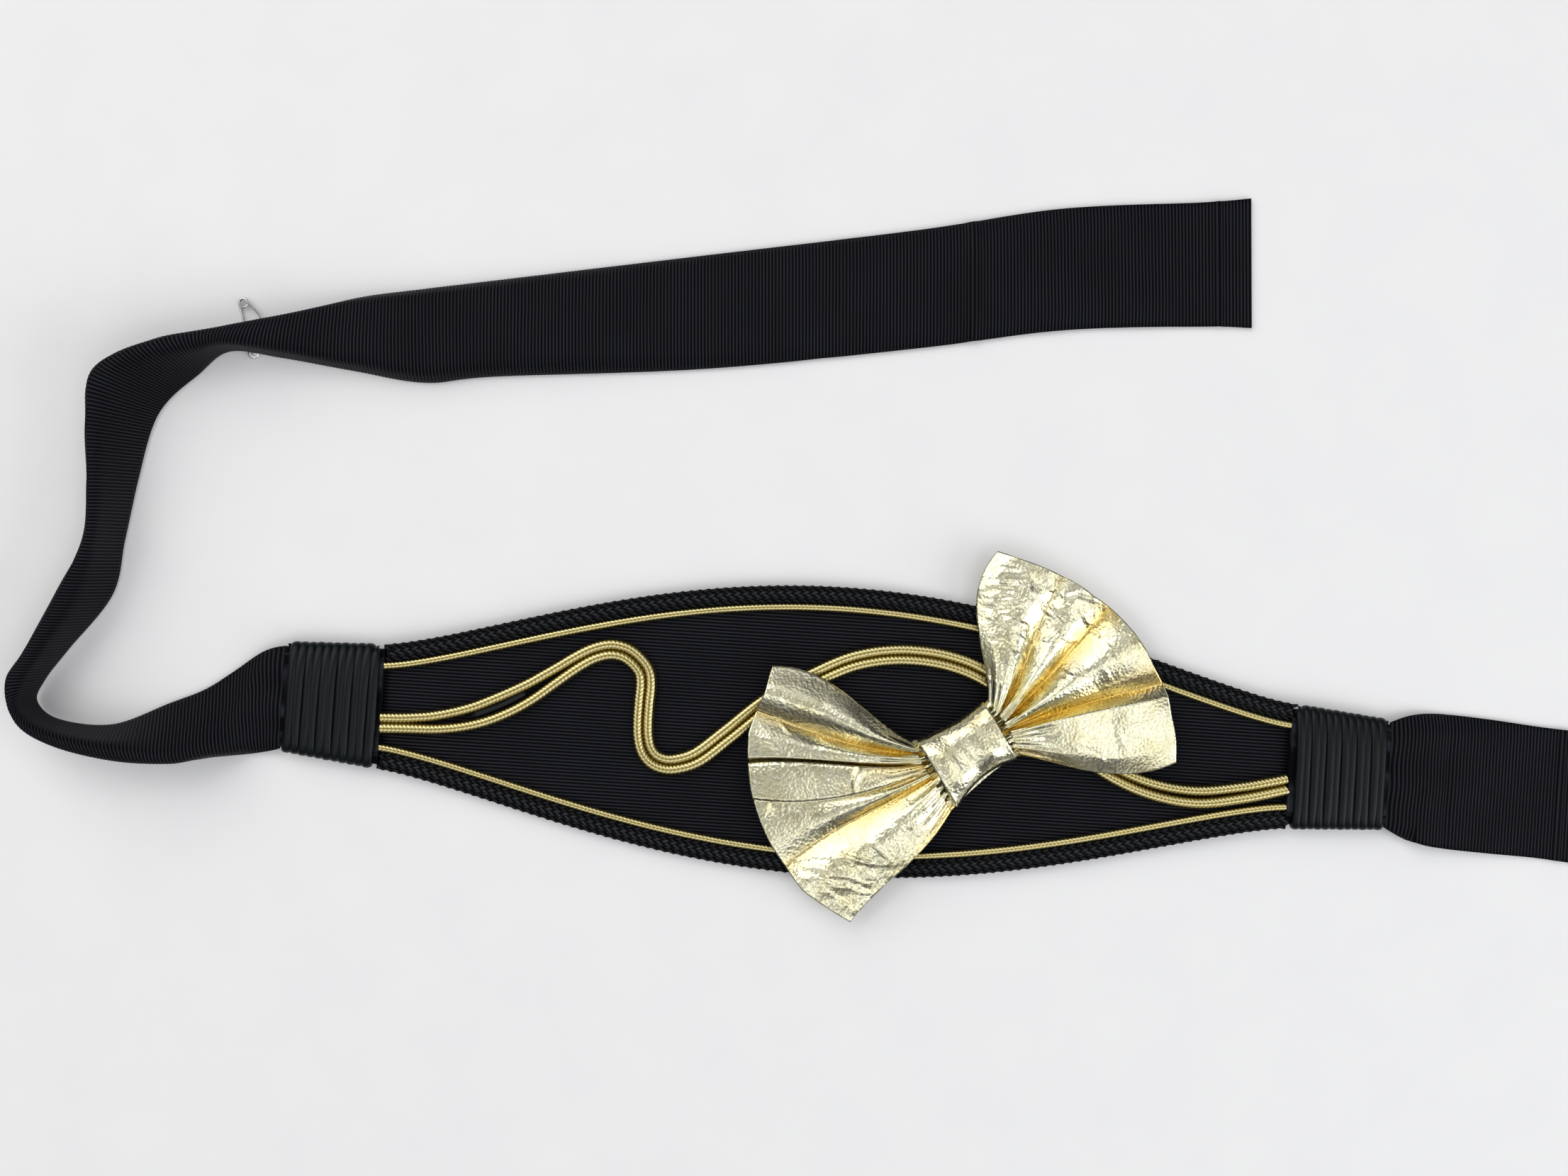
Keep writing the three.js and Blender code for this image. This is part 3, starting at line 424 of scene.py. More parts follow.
def rough(places, size, seed):
    """Smooth noise from -1 to 1 at places in millimetres."""
    shift = Vector((seed * 17.3, seed * 5.1, seed * 9.7))
    return np.array([noise.noise(Vector(p) / size + shift) for p in places])


# Finishes

def new_look(name, **values):
    look = bpy.data.materials.new(name)
    look.use_nodes = True
    shader = look.node_tree.nodes["Principled BSDF"]
    for socket, value in values.items():
        shader.inputs[socket.replace("_", " ")].default_value = value
    return look


def part(look, kind, inputs=None, **settings):
    """A node with its settings and inputs; an input is a number, a colour or another node's output."""
    made = look.node_tree.nodes.new("ShaderNode" + kind)
    for key, value in settings.items():
        setattr(made, key, value)
    for key, value in (inputs or {}).items():
        socket = made.inputs[key]
        if isinstance(value, bpy.types.NodeSocket):
            look.node_tree.links.new(value, socket)
        else:
            socket.default_value = value
    return made


def feed(look, socket, value):
    shader = look.node_tree.nodes["Principled BSDF"]
    look.node_tree.links.new(value, shader.inputs[socket])


def place_of(look):
    return part(look, "TexCoord").outputs["Object"]


def ramp(look, value, stops):
    made = part(look, "ValToRGB", {"Fac": value})
    bar = made.color_ramp
    for stop, colour in stops[:-1]:
        bar.elements.new(stop).color = (*colour, 1)
    bar.elements.remove(bar.elements[0])
    bar.elements[-1].position, bar.elements[-1].color = stops[-1][0], (*stops[-1][1], 1)
    return made.outputs["Color"]


def maths(look, operation, first, second=0.0):
    return part(look, "Math", {0: first, 1: second}, operation=operation).outputs[0]


def mix(look, share, first, second):
    made = part(look, "Mix", data_type="RGBA")
    for key, value in (("Factor", share), ("A", first), ("B", second)):
        socket = [s for s in made.inputs if s.name == key and s.enabled][0]
        if isinstance(value, bpy.types.NodeSocket):
            look.node_tree.links.new(value, socket)
        else:
            socket.default_value = value if key == "Factor" else (*value, 1)
    return [s for s in made.outputs if s.enabled][0]


def bumps(look, height, depth, strength=1.0):
    made = part(look, "Bump", {"Height": height, "Distance": depth * MM, "Strength": strength})
    feed(look, "Normal", made.outputs["Normal"])


def fine_noise(look, where, size, detail=2.0, roughness=0.5):
    """Noise with grains of about size millimetres on Object coordinates."""
    inputs = {"Vector": where, "Scale": 1 / (size * MM), "Detail": detail, "Roughness": roughness}
    return part(look, "TexNoise", inputs).outputs["Fac"]


def ribbed_cloth(name, colour, light):
    look = new_look(name, Roughness=0.6, Specular_IOR_Level=0.05, Sheen_Weight=0.015, Sheen_Roughness=0.4)
    where = place_of(look)
    rib = part(look, "Attribute", attribute_name="rib").outputs["Fac"]
    highlight_patches = fine_noise(look, where, 22, 3)
    thread = fine_noise(look, where, 0.45, 2, 0.6)
    tone = maths(look, "MULTIPLY", highlight_patches, 0.5)
    # Rib crests are painted lighter than the black cloth, more in some patches than in others: painted
    # highlight along each rib.
    crest_highlight = maths(look, "POWER", rib, 7.0)
    shade = maths(look, "MULTIPLY", crest_highlight, maths(look, "ADD", tone, 0.55))
    feed(look, "Base Color", mix(look, shade, colour, light))
    bumps(look, thread, 0.12, 0.5)
    return look


GROSGRAIN = ribbed_cloth("black_grosgrain", (0.001, 0.001, 0.0016), (0.036, 0.038, 0.05))


def braid_look():
    look = new_look("black_plait", Roughness=0.3, Specular_IOR_Level=0.1, Sheen_Weight=0.0)
    where = place_of(look)
    strand = fine_noise(look, where, 0.5, 2, 0.6)
    # Painted highlight: the tops of the stitches get the lighter grey thread colour, and the lower parts stay
    # near black.
    crest_highlight = part(look, "Attribute", attribute_name="crest_highlight").outputs["Fac"]
    thread = ramp(look, strand, [(0.3, (0.02, 0.023, 0.027)), (0.75, (0.075, 0.08, 0.09))])
    feed(look, "Base Color", mix(look, crest_highlight, (0.001, 0.001, 0.0015), thread))
    bumps(look, strand, 0.12, 0.6)
    return look


PLAIT = braid_look()


def satin_look():
    look = new_look("satin_cord", Roughness=0.33, Specular_IOR_Level=0.2, Sheen_Weight=0.0)
    where = place_of(look)
    streak = part(look, "Mapping", {"Vector": where, "Scale": (900, 60, 60)}).outputs["Vector"]
    thread = part(look, "TexNoise", {"Vector": streak, "Scale": 1.0, "Detail": 2.0}).outputs["Fac"]
    feed(look, "Base Color", ramp(look, thread, [(0.3, (0.001, 0.002, 0.003)), (0.8, (0.003, 0.007, 0.009))]))
    bumps(look, thread, 0.1, 0.4)
    return look


SATIN = satin_look()


def gold_cord_look():
    look = new_look("gold_cord", Metallic=1.0, Roughness=0.3)
    where = place_of(look)
    # The groove attribute paints shade: dark gold in the grooves between strands and on the cord's lower
    # side, and bright gold on the upper strand tops.
    groove = part(look, "Attribute", attribute_name="groove").outputs["Fac"]
    grain = fine_noise(look, where, 0.35, 2, 0.6)
    gold = ramp(look, grain, [(0.25, (0.88, 0.74, 0.28)), (0.7, (1.0, 0.93, 0.55))])
    feed(look, "Base Color", mix(look, groove, (0.24, 0.17, 0.03), gold))
    feed(look, "Roughness", ramp(look, grain, [(0.2, (0.2,) * 3), (0.8, (0.42,) * 3)]))
    bumps(look, grain, 0.1, 0.5)
    return look


GOLD_CORD = gold_cord_look()


def leather_look():
    look = new_look("gold_leather", Metallic=1.0, Specular_IOR_Level=0.5)
    where = place_of(look)
    # Deep gold painted into the folds and on the knot's lower sides: painted shade and painted reflection of
    # gold light between the folds.
    amber_shade = part(look, "Attribute", attribute_name="amber_shade").outputs["Fac"]
    patch = fine_noise(look, where, 16, 3, 0.55)
    golds = [(0.3, (0.66, 0.61, 0.38)), (0.5, (0.76, 0.74, 0.54)), (0.75, (0.7, 0.64, 0.38))]
    pale = ramp(look, patch, golds)
    feed(look, "Base Color", mix(look, amber_shade, pale, (0.74, 0.53, 0.13)))
    pebble = part(look, "TexVoronoi", {"Vector": where, "Scale": 850.0, "Smoothness": 0.5},
                  feature="SMOOTH_F1").outputs["Distance"]
    fold = fine_noise(look, where, 2.2, 3, 0.6)
    grain = maths(look, "ADD", pebble, maths(look, "MULTIPLY", fold, 0.6))
    feed(look, "Roughness", ramp(look, fold, [(0.3, (0.17,) * 3), (0.7, (0.28,) * 3)]))
    bumps(look, grain, 0.15, 0.8)
    return look


LEATHER = leather_look()


def steel_look():
    look = new_look("pin_steel", Metallic=1.0, Roughness=0.22)
    where = place_of(look)
    mark = fine_noise(look, where, 1.2, 3, 0.6)
    feed(look, "Base Color", ramp(look, mark, [(0.3, (0.5, 0.5, 0.5)), (0.7, (0.72, 0.73, 0.74))]))
    feed(look, "Roughness", ramp(look, mark, [(0.3, (0.18,) * 3), (0.7, (0.32,) * 3)]))
    return look


STEEL = steel_look()


# Ribs stand this high over the cloth, this far apart.
RIB = 1.3
RIB_RISE = 0.22


def rib_wave(run):
    """Rounded ribs with narrow grooves, from 0 in a groove to 1 on top."""
    return np.abs(np.sin(np.pi * run / RIB)) ** 0.6


# Front panel

def make_panel():
    rows = 340
    steps = 96

    def reach(y):
        """How far along the panel reaches at a height across it."""
        peak = np.where(y > 0, PANEL_TOP, PANEL_BOTTOM) - BRAID_OVERHANG
        share = np.clip((np.abs(y) - NECK_HALF + BRAID_OVERHANG) / (peak - NECK_HALF + BRAID_OVERHANG), 0, 1)
        return (PANEL_END - 2 * GAP) * np.sqrt(1 - share ** (1 / OUTLINE_POWER))

    top, bottom = PANEL_TOP - BRAID_OVERHANG, BRAID_OVERHANG - PANEL_BOTTOM

    def place(along, across):
        y = bottom + (top - bottom) * across
        x = (along * 2 - 1) * np.maximum(reach(y), 2)
        z = panel_front(x) - RIB_RISE * (1 - rib_wave(y))
        return np.stack([x, y, z], 1)

    panel = sheet_of("front_panel_cloth", steps, rows, place)
    face_up(panel)
    thicken(panel, PANEL_WALL - 0.5)
    at = corners(panel)
    paint(panel, "rib", rib_wave(at[:, 1]))
    smooth(panel)
    stuffing = []
    for side, drift in ((-1, LEFT_DRIFT), (1, RIGHT_DRIFT)):
        def bundle(along, around, side=side, drift=drift):
            turn = 2 * np.pi * around
            x = side * (PANEL_END - 1 + along * (WRAP_LENGTH + 0.5))
            half = WRAP_HALF_WIDTH + (WRAP_OUTER_HALF_WIDTH - WRAP_HALF_WIDTH) * along - WRAP_WALL
            pleat = 1 + 0.05 * np.sin(9 * turn) * np.abs(np.sin(turn))
            y = drift * along + half * pleat * oval(np.cos(turn), WRAP_OVAL)
            z = WRAP_HALF_HEIGHT + (WRAP_HALF_HEIGHT - WRAP_WALL) * pleat * oval(np.sin(turn), WRAP_OVAL)
            return np.stack([x, y, z], 1)

        roll = sheet_of("bunched_cloth", 6, 48, bundle)
        close_up(roll)
        paint(roll, "rib", rib_wave(corners(roll)[:, 1]))
        smooth(roll, 50)
        stuffing.append(roll)
    panel = join("front_panel_cloth", [panel] + stuffing)
    settle(panel, GROSGRAIN, ["front_panel"])


make_panel()


# Plaited edges

PLAIT_PITCH = 3.3
STITCH_LENGTH = 3.9
STITCH_WIDTH = 1.5
STITCH_THICKNESS = 1.6
STITCH_LEAN = math.radians(24)
STITCH_ROWS_APART = 2.05


def make_braid(side):
    name = "plaited_edge_" + ("top" if side > 0 else "bottom")
    line = along_edge(side, BRAID_WIDTH / 2, BRAID_THICKNESS / 2, 200)
    count = round(length_of(line) / PLAIT_PITCH)
    pitch = length_of(line) / count
    stitches = []
    for row in (-1, 0, 1):
        for lean in (-1, 1):
            blank()
            bpy.ops.mesh.primitive_uv_sphere_add(segments=8, ring_count=5, radius=0.5 * MM)
            stitch = bpy.context.object
            start = corners(stitch)
            turn = lean * STITCH_LEAN
            x, y = start[:, 0] * STITCH_LENGTH, start[:, 1] * STITCH_WIDTH
            spun_x = x * math.cos(turn) - y * math.sin(turn)
            spun_y = x * math.sin(turn) + y * math.cos(turn)
            shift = (0.25 * (lean + 1) + (0.5 if row == 0 else 0)) * pitch + 0.5 * pitch
            high = 0.4 - 0.2 * abs(row) + 0.5 * start[:, 0] * lean
            move_to(stitch, np.stack([spun_x + shift, spun_y + row * STITCH_ROWS_APART + lean * 0.55,
                                      start[:, 2] * STITCH_THICKNESS + high], 1))
            stitches.append(stitch)
    braid = join(name, stitches)
    repeat = braid.modifiers.new("repeat", "ARRAY")
    repeat.count = count
    repeat.use_relative_offset = False
    repeat.use_constant_offset = True
    repeat.constant_offset_displace = (pitch * MM, 0, 0)
    rail_data = bpy.data.curves.new(name + "_rail", "CURVE")
    rail_data.dimensions = "3D"
    rail_data.twist_mode = "Z_UP"
    path = rail_data.splines.new("POLY")
    path.points.add(len(line) - 1)
    path.points.foreach_set("co", np.concatenate([line * MM, np.ones((len(line), 1))], 1).ravel())
    rail = bpy.data.objects.new(name + "_rail", rail_data)
    bpy.context.scene.collection.objects.link(rail)
    bend = braid.modifiers.new("bend", "CURVE")
    bend.object = rail
    apply_all(braid)
    bpy.data.objects.remove(rail)
    at = corners(braid)
    order = np.argsort(line[:, 0])
    height = at[:, 2] - np.interp(at[:, 0], line[order, 0], line[order, 2])
    # How high each point of a stitch stands: this is the mask for its painted highlight.
    paint(braid, "crest_highlight", np.clip((height - 0.55) / 0.75, 0, 1) ** 2.5)
    smooth(braid)
    core = swept(
        name + "_core", line, 16,
        lambda along, around: (BRAID_WIDTH / 2 - 0.15) * np.ones_like(around), flat=0.13,
    )
    braid = join(name, [braid, core])
    settle(braid, PLAIT, ["edge_braid_" + ("top" if side > 0 else "bottom")])


make_braid(1)
make_braid(-1)


# Gold cords, plaited in slanting rows round a core

# The cords' plaited covers, swollen a little so that the pair touches.
WAVE_ROPE = 4.3
BORDER_ROPE = 3.1
GOLD_PITCH = 1.5
GOLD_ROWS = 6


def gold_tube(name, line, diameter, replaced):
    length = length_of(line)
    steps = round(length / GOLD_PITCH) * 4
    line = evenly(line, steps)

    def strand(along, around):
        row = np.floor(around * GOLD_ROWS + 0.5)
        within = around * GOLD_ROWS + 0.5 - row
        lean = np.where(row % 2 == 0, 1, -1)
        phase = along * length / GOLD_PITCH + lean * (within - 0.5) * 0.9
        return np.abs(np.sin(np.pi * phase)) ** 0.7 * np.sin(np.pi * np.clip(within, 0, 1)) ** 0.4

    def radius(along, around):
        return diameter / 2 * (0.92 + 0.12 * strand(along, around))

    cord = swept(name, line, 24, radius)
    at = corners(cord)
    off = np.abs(line[None, ::8, :2] - at[:, None, :2]).sum(2)
    near = np.argmin(off, 1) * 8
    near = np.clip(near[:, None] + np.arange(-6, 7)[None, :], 0, steps)
    gaps = np.linalg.norm(at[:, None] - line[near], axis=2)
    nearest = line[near[np.arange(len(at)), gaps.argmin(1)]]
    lift = np.clip((at[:, 2] - nearest[:, 2]) / (diameter / 2), 0, 1)
    strands = np.clip((gaps.min(1) / (diameter / 2) - 0.92) / 0.1, 0, 1)
    # Painted shade: dark in the grooves between strands, and darker towards the cord's lower side.
    paint(cord, "groove", strands * (0.3 + 0.7 * lift))
    settle(cord, GOLD_CORD, [replaced])


for side, word in ((1, "top"), (-1, "bottom")):
    gold_tube("gold_border_" + word, along_edge(side, BORDER_INSET, BORDER_CORD / 2, 200), BORDER_ROPE,
              "border_cord_" + word)

wave = np.array(WAVE)
wave_points = np.stack([
    np.clip(wave[:, 0], -1, 1) * TRIM_END, wave[:, 1] * PANEL_TOP, np.zeros(len(wave)),
], 1)
wave_line = route(wave_points, 600)
wave_heading = unit(np.gradient(wave_line, axis=0))
row_place = [np.linalg.norm(wave_line - p, axis=1).argmin() for p in wave_points]
wave_apart = np.interp(np.arange(601), row_place, wave[:, 2])
wave_apart = np.convolve(np.pad(wave_apart, 12, mode="edge"), np.ones(25) / 25, mode="valid")
for side, word in ((1, "upper"), (-1, "lower")):
    offset = side * np.maximum(WAVE_CORD * wave_apart, WAVE_ROPE * 0.97) / 2
    x = np.clip(wave_line[:, 0] - wave_heading[:, 1] * offset, -TRIM_END, TRIM_END)
    y = wave_line[:, 1] + wave_heading[:, 0] * offset
    gold_tube("gold_wave_" + word, np.stack([x, y, panel_front(x) + WAVE_ROPE / 2], 1), WAVE_ROPE,
              "wave_cord_" + word)


def make_core_cord():
    x = wave[3:6, 0] * PANEL_END
    points = np.stack([x, wave[3:6, 1] * PANEL_TOP, panel_front(x) + GAP + CORE_CORD / 2], 1)
    line = route(points, 120)
    run = length_of(line)

    def radius(along, around):
        twist = np.abs(np.sin(np.pi * (along * run / 1.6 + 2 * around)))
        ends = np.clip(np.minimum(along, 1 - along) * 12, 0.25, 1)
        return CORE_CORD / 2 * (0.86 + 0.14 * twist) * ends

    cord = swept("black_core_cord", line, 16, radius)
    # The top of the core cord is painted a little lighter: painted highlight.
    paint(cord, "crest_highlight", np.clip(corners(cord)[:, 2] - panel_front(0) - GAP - CORE_CORD * 0.7, 0, 0.4))
    settle(cord, PLAIT, ["wave_core_cord"])


make_core_cord()


# Satin cord wound round each neck

def make_wrap(side, drift, turns, name, replaced):
    around = 64
    count = turns * around
    share = np.linspace(0, 1, count + 1)
    turn = 2 * np.pi * turns * share
    cord = WRAP_LENGTH / turns
    uneven = 0.35 * np.sin(3.1 * share * turns + 1.3 * side) + 0.2 * np.sin(7.7 * share * turns)
    along = np.clip(share * (WRAP_LENGTH - cord) + cord / 2, 0, WRAP_LENGTH)
    x = side * (PANEL_END + along) + 0.45 * np.sin(turn * 0.5 + uneven) * np.sin(turn) ** 2
    half = WRAP_HALF_WIDTH + (WRAP_OUTER_HALF_WIDTH - WRAP_HALF_WIDTH) * along / WRAP_LENGTH - cord / 2
    y = drift * along / WRAP_LENGTH + half * oval(np.cos(turn), WRAP_OVAL)
    up = WRAP_HALF_HEIGHT - 1.3
    z = WRAP_HALF_HEIGHT + up * oval(np.sin(turn), WRAP_OVAL)
    centre = np.stack([x, y, z], 1)
    middle = np.stack([x, drift * along / WRAP_LENGTH + (y - drift * along / WRAP_LENGTH) * 0.8,
                       np.full(count + 1, WRAP_HALF_HEIGHT)], 1)
    outward = unit(centre - middle)
    smoothed = np.stack([np.convolve(np.pad(outward[:, k], 3, mode="edge"), np.ones(7) / 7, mode="valid")
                         for k in range(3)], 1)

    def radius(place, round_share):
        swell = 1 + 0.05 * np.sin(2 * np.pi * turns * place * 1.37 + 2 * side)
        ends = np.clip(np.minimum(place, 1 - place) * count / 6, 0.3, 1)
        return (cord / 2 + 0.3) * swell * ends * np.ones_like(round_share)

    wound = swept(name, centre, 12, radius, up=smoothed, flat=0.6)
    settle(wound, SATIN, [replaced])


make_wrap(-1, LEFT_DRIFT, 11, "wound_neck_left", "wrap_left")
make_wrap(1, RIGHT_DRIFT, 12, "wound_neck_right", "wrap_right")


# Ribbon straps

def section(row, seen, columns):
    """Places across a strap: its inner slope, top and outer slope, at even lengths."""
    rise, fall, height, lift = row
    top = height * STRAP_WIDTH
    shoulder = top * 0.9
    base = STRAP_WALL / 2 + lift * STRAP_WIDTH
    crease_in, crease_out = rise * seen, (1 - fall) * seen
    used = math.hypot(crease_in, shoulder) + math.hypot(crease_out - crease_in, 2 * (top - shoulder))
    left = max(STRAP_WIDTH - used, 0)
    run = seen - crease_out
    drop = min(math.sqrt(max(left * left - run * run, 0)), shoulder)
    points = np.array([
        (0, base), (crease_in, base + shoulder), ((crease_in + crease_out) / 2, base + top),
        (crease_out, base + shoulder), (seen, base + shoulder - drop),
    ])
    line = evenly(points, columns * 3)
    for _ in range(10):
        line[1:-1] = line[:-2] * 0.25 + line[1:-1] * 0.5 + line[2:] * 0.25
    return evenly(line, columns)


def make_strap(name, table, length, side, drift, columns, dents, replaced):
    rows = np.array(table)
    start = np.array([side * WRAP_END, drift])
    fine = np.linspace(0, 1, 1200)
    values = np.stack([spline(rows[:, k], fine) for k in range(8)], 1)
    values[:, 4] = np.clip(values[:, 4], 0.02, 0.9)
    values[:, 5] = np.clip(values[:, 5], 0, 0.9)
    values[:, 6:] = np.maximum(values[:, 6:], 0)
    inner, outer = values[:, 0:2] * length + start, values[:, 2:4] * length + start
    middle = (inner + outer) / 2
    run = np.concatenate([[0], np.cumsum(np.linalg.norm(np.diff(middle, axis=0), axis=1))])
    count = round(run[-1] / RIB) * 4
    at = np.interp(np.linspace(0, run[-1], count + 1), run, fine)
    pick_at = lambda column: np.interp(at, fine, column)
    inner = np.stack([pick_at(inner[:, 0]), pick_at(inner[:, 1])], 1)
    outer = np.stack([pick_at(outer[:, 0]), pick_at(outer[:, 1])], 1)
    shape = np.stack([pick_at(values[:, k]) for k in range(4, 8)], 1)
    seen = np.linalg.norm(outer - inner, axis=1)
    across = (outer - inner) / seen[:, None]
    places = np.empty((count + 1, columns + 1, 3))
    for i in range(count + 1):
        line = section(shape[i], seen[i], columns)
        places[i, :, :2] = inner[i] + across[i] * line[:, :1]
        places[i, :, 2] = line[:, 1]
    down = np.linspace(0, run[-1], count + 1)
    width = np.linspace(-1, 1, columns + 1)
    gather = np.exp(-down / 16)[:, None] * (1 - np.abs(width[None, :]) ** 3)
    places[:, :, 2] += 0.9 * gather * np.sin(7.5 * width[None, :] + 0.05 * down[:, None])
    for where, place, long, wide, depth in dents:
        bell = np.exp(-(((down[:, None] - where) / long) ** 2) - ((width[None, :] - place) / wide) ** 2)
        places[:, :, 2] += depth * bell
    places[:, :, 2] = np.maximum(places[:, :, 2], STRAP_WALL / 2)
    tuck = np.exp(-down / 4)[:, None]
    places[:, :, 0] -= side * 2.2 * tuck
    places[:, :, 1] = start[1] + (places[:, :, 1] - start[1]) * (1 - 0.07 * tuck)
    ahead = unit(np.gradient(places, axis=0))
    beside = unit(np.gradient(places, axis=1))
    normal = np.cross(beside, ahead)
    normal *= np.sign(normal[:, :, 2].mean())
    rib = rib_wave(down)
    surface = places + normal * (STRAP_WALL / 2 - RIB_RISE * (1 - rib))[:, None, None]
    surface[:, :, 2] = np.maximum(surface[:, :, 2], STRAP_WALL - RIB_RISE * (1 - rib)[:, None])

    def place(along, share):
        return surface[np.rint(along * count).astype(int), np.rint(share * columns).astype(int)]

    strap = sheet_of(name, count, columns, place)
    if strap.data.polygons[len(strap.data.polygons) // 2].normal.z < 0:
        in_edit(strap, lambda: bpy.ops.mesh.flip_normals())
    paint(strap, "rib", np.tile(rib, columns + 1))
    thicken(strap, STRAP_WALL - 0.3)
    smooth(strap)
    settle(strap, GROSGRAIN, [replaced])


# Dents and hems: millimetres down the strap, place across from -1 to 1, their reach each way, depth.
LEFT_DENTS = [
    (262, 0.1, 10, 0.4, -1.5), (330, -0.3, 14, 0.35, 1.2), (392, 0.35, 7, 0.4, -1.2),
    (415, -0.1, 6, 0.5, 1.0), (430, 0.1, 5, 0.5, -1.0), (500, -0.5, 7, 0.5, -1.1),
    (513, 0.3, 6, 0.6, 1.0), (560, 0, 2.2, 2.5, 1.3), (590, -0.6, 8, 0.4, 1.1),
    (604, 0.2, 7, 0.5, -1.0), (625, -0.5, 9, 0.4, 1.0), (655, 0, 1.2, 3, 0.8),
]
RIGHT_DENTS = [(14, 0.1, 4, 1.5, 1.0), (21, 0.3, 2, 1.2, -0.8), (66, 0, 1.2, 3, 0.8)]
make_strap(
    "long_ribbon_strap", LEFT_STRAP, LEFT_STRAP_LENGTH, -1, LEFT_DRIFT, 18, LEFT_DENTS, "strap_left")
make_strap(
    "short_ribbon_strap", RIGHT_STRAP, RIGHT_STRAP_LENGTH, 1, RIGHT_DRIFT, 24, RIGHT_DENTS, "strap_right")


# Leather bow

KNOT_WIDTHS = (1, 0.78, 0.85)
KNOT_SHIFTS = (-0.07, 0.045, 0.06)


def through(first, second, third, share):
    back = first * (1 - share) * (1 - 2 * share)
    return back + second * 4 * share * (1 - share) + third * share * (2 * share - 1)


def across_folds(values, sharp, fold):
    """Blends the values of neighbouring fold lines; sharp ones keep their crease."""
    last = len(sharp) - 1
    i = np.clip(np.floor(fold).astype(int), 0, last - 1)
    t = fold - i
    n = np.arange(len(fold))
    here, there = values[i, n], values[i + 1, n]
    step = there - here
    before = here - values[np.maximum(i - 1, 0), n]
    after = values[np.minimum(i + 2, last), n] - there
    leave = np.where((sharp[i] > 0) | (i == 0), step, (step + before) / 2)
    arrive = np.where((sharp[i + 1] > 0) | (i + 1 == last), step, (step + after) / 2)
    return here + t * (leave + t * (3 * step - 2 * leave - arrive + t * (leave + arrive - 2 * step)))


def on_wing(table, sign, share, fold):
    """Places of one wing before its creases: along and across the bow, height and the share of painted shade.
    """
    rows = np.array(table, float)[:, :, None]
    angles = np.radians(through(rows[:, 0], rows[:, 1], rows[:, 2], share))
    start = (KNOT_LENGTH / 2 + 2) / np.cos(np.radians(rows[:, 0]))
    radii = start + (rows[:, 3] * BOW_REACH - start) * share
    swell = 0.25 * np.sin(np.pi * np.minimum(share * 1.6, 1))
    relief = through(rows[:, 4], rows[:, 5], rows[:, 6], share) + swell
    crisp = rows[:, 7, 0]
    angle = across_folds(angles, np.ones(len(crisp)), fold)
    radius = across_folds(radii, np.ones(len(crisp)), fold)
    height = across_folds(relief, crisp, fold)
    # Share of painted shade for each fold line, from knot to rim.
    row_amber_shade = rows[:, 8] + (rows[:, 9] - rows[:, 8]) * np.clip(share * 1.25, 0, 1) ** 1.3
    amber_shade = across_folds(row_amber_shade, np.ones(len(crisp)), fold)
    return sign * radius * np.cos(angle), radius * np.sin(angle), height, amber_shade


def on_bow(u, v):
    """The panel's axes from the bow's."""
    x = BOW_ALONG + u * math.cos(BOW_TILT) - v * math.sin(BOW_TILT)
    return x, BOW_ACROSS + u * math.sin(BOW_TILT) + v * math.cos(BOW_TILT)


def crease_height(u, v):
    """Height that the pressed creases add at places on the bow."""
    total = np.zeros_like(u)
    for u0, v0, u1, v1, wide, high in CREASES:
        run = math.hypot(u1 - u0, v1 - v0)
        au, av = (u1 - u0) / run, (v1 - v0) / run
        share = np.clip(((u - u0) * au + (v - v0) * av) / run, 0, 1)
        wander = 0.5 * np.sin(share * 7 + u0)
        off = np.hypot(u - u0 - share * run * au + wander * av, v - v0 - share * run * av - wander * au)
        fade = np.sin(np.pi * np.clip(share * 0.9 + 0.05, 0, 1)) ** 0.5
        total += high * np.exp(-((off / wide) ** 2)) * fade
    return total


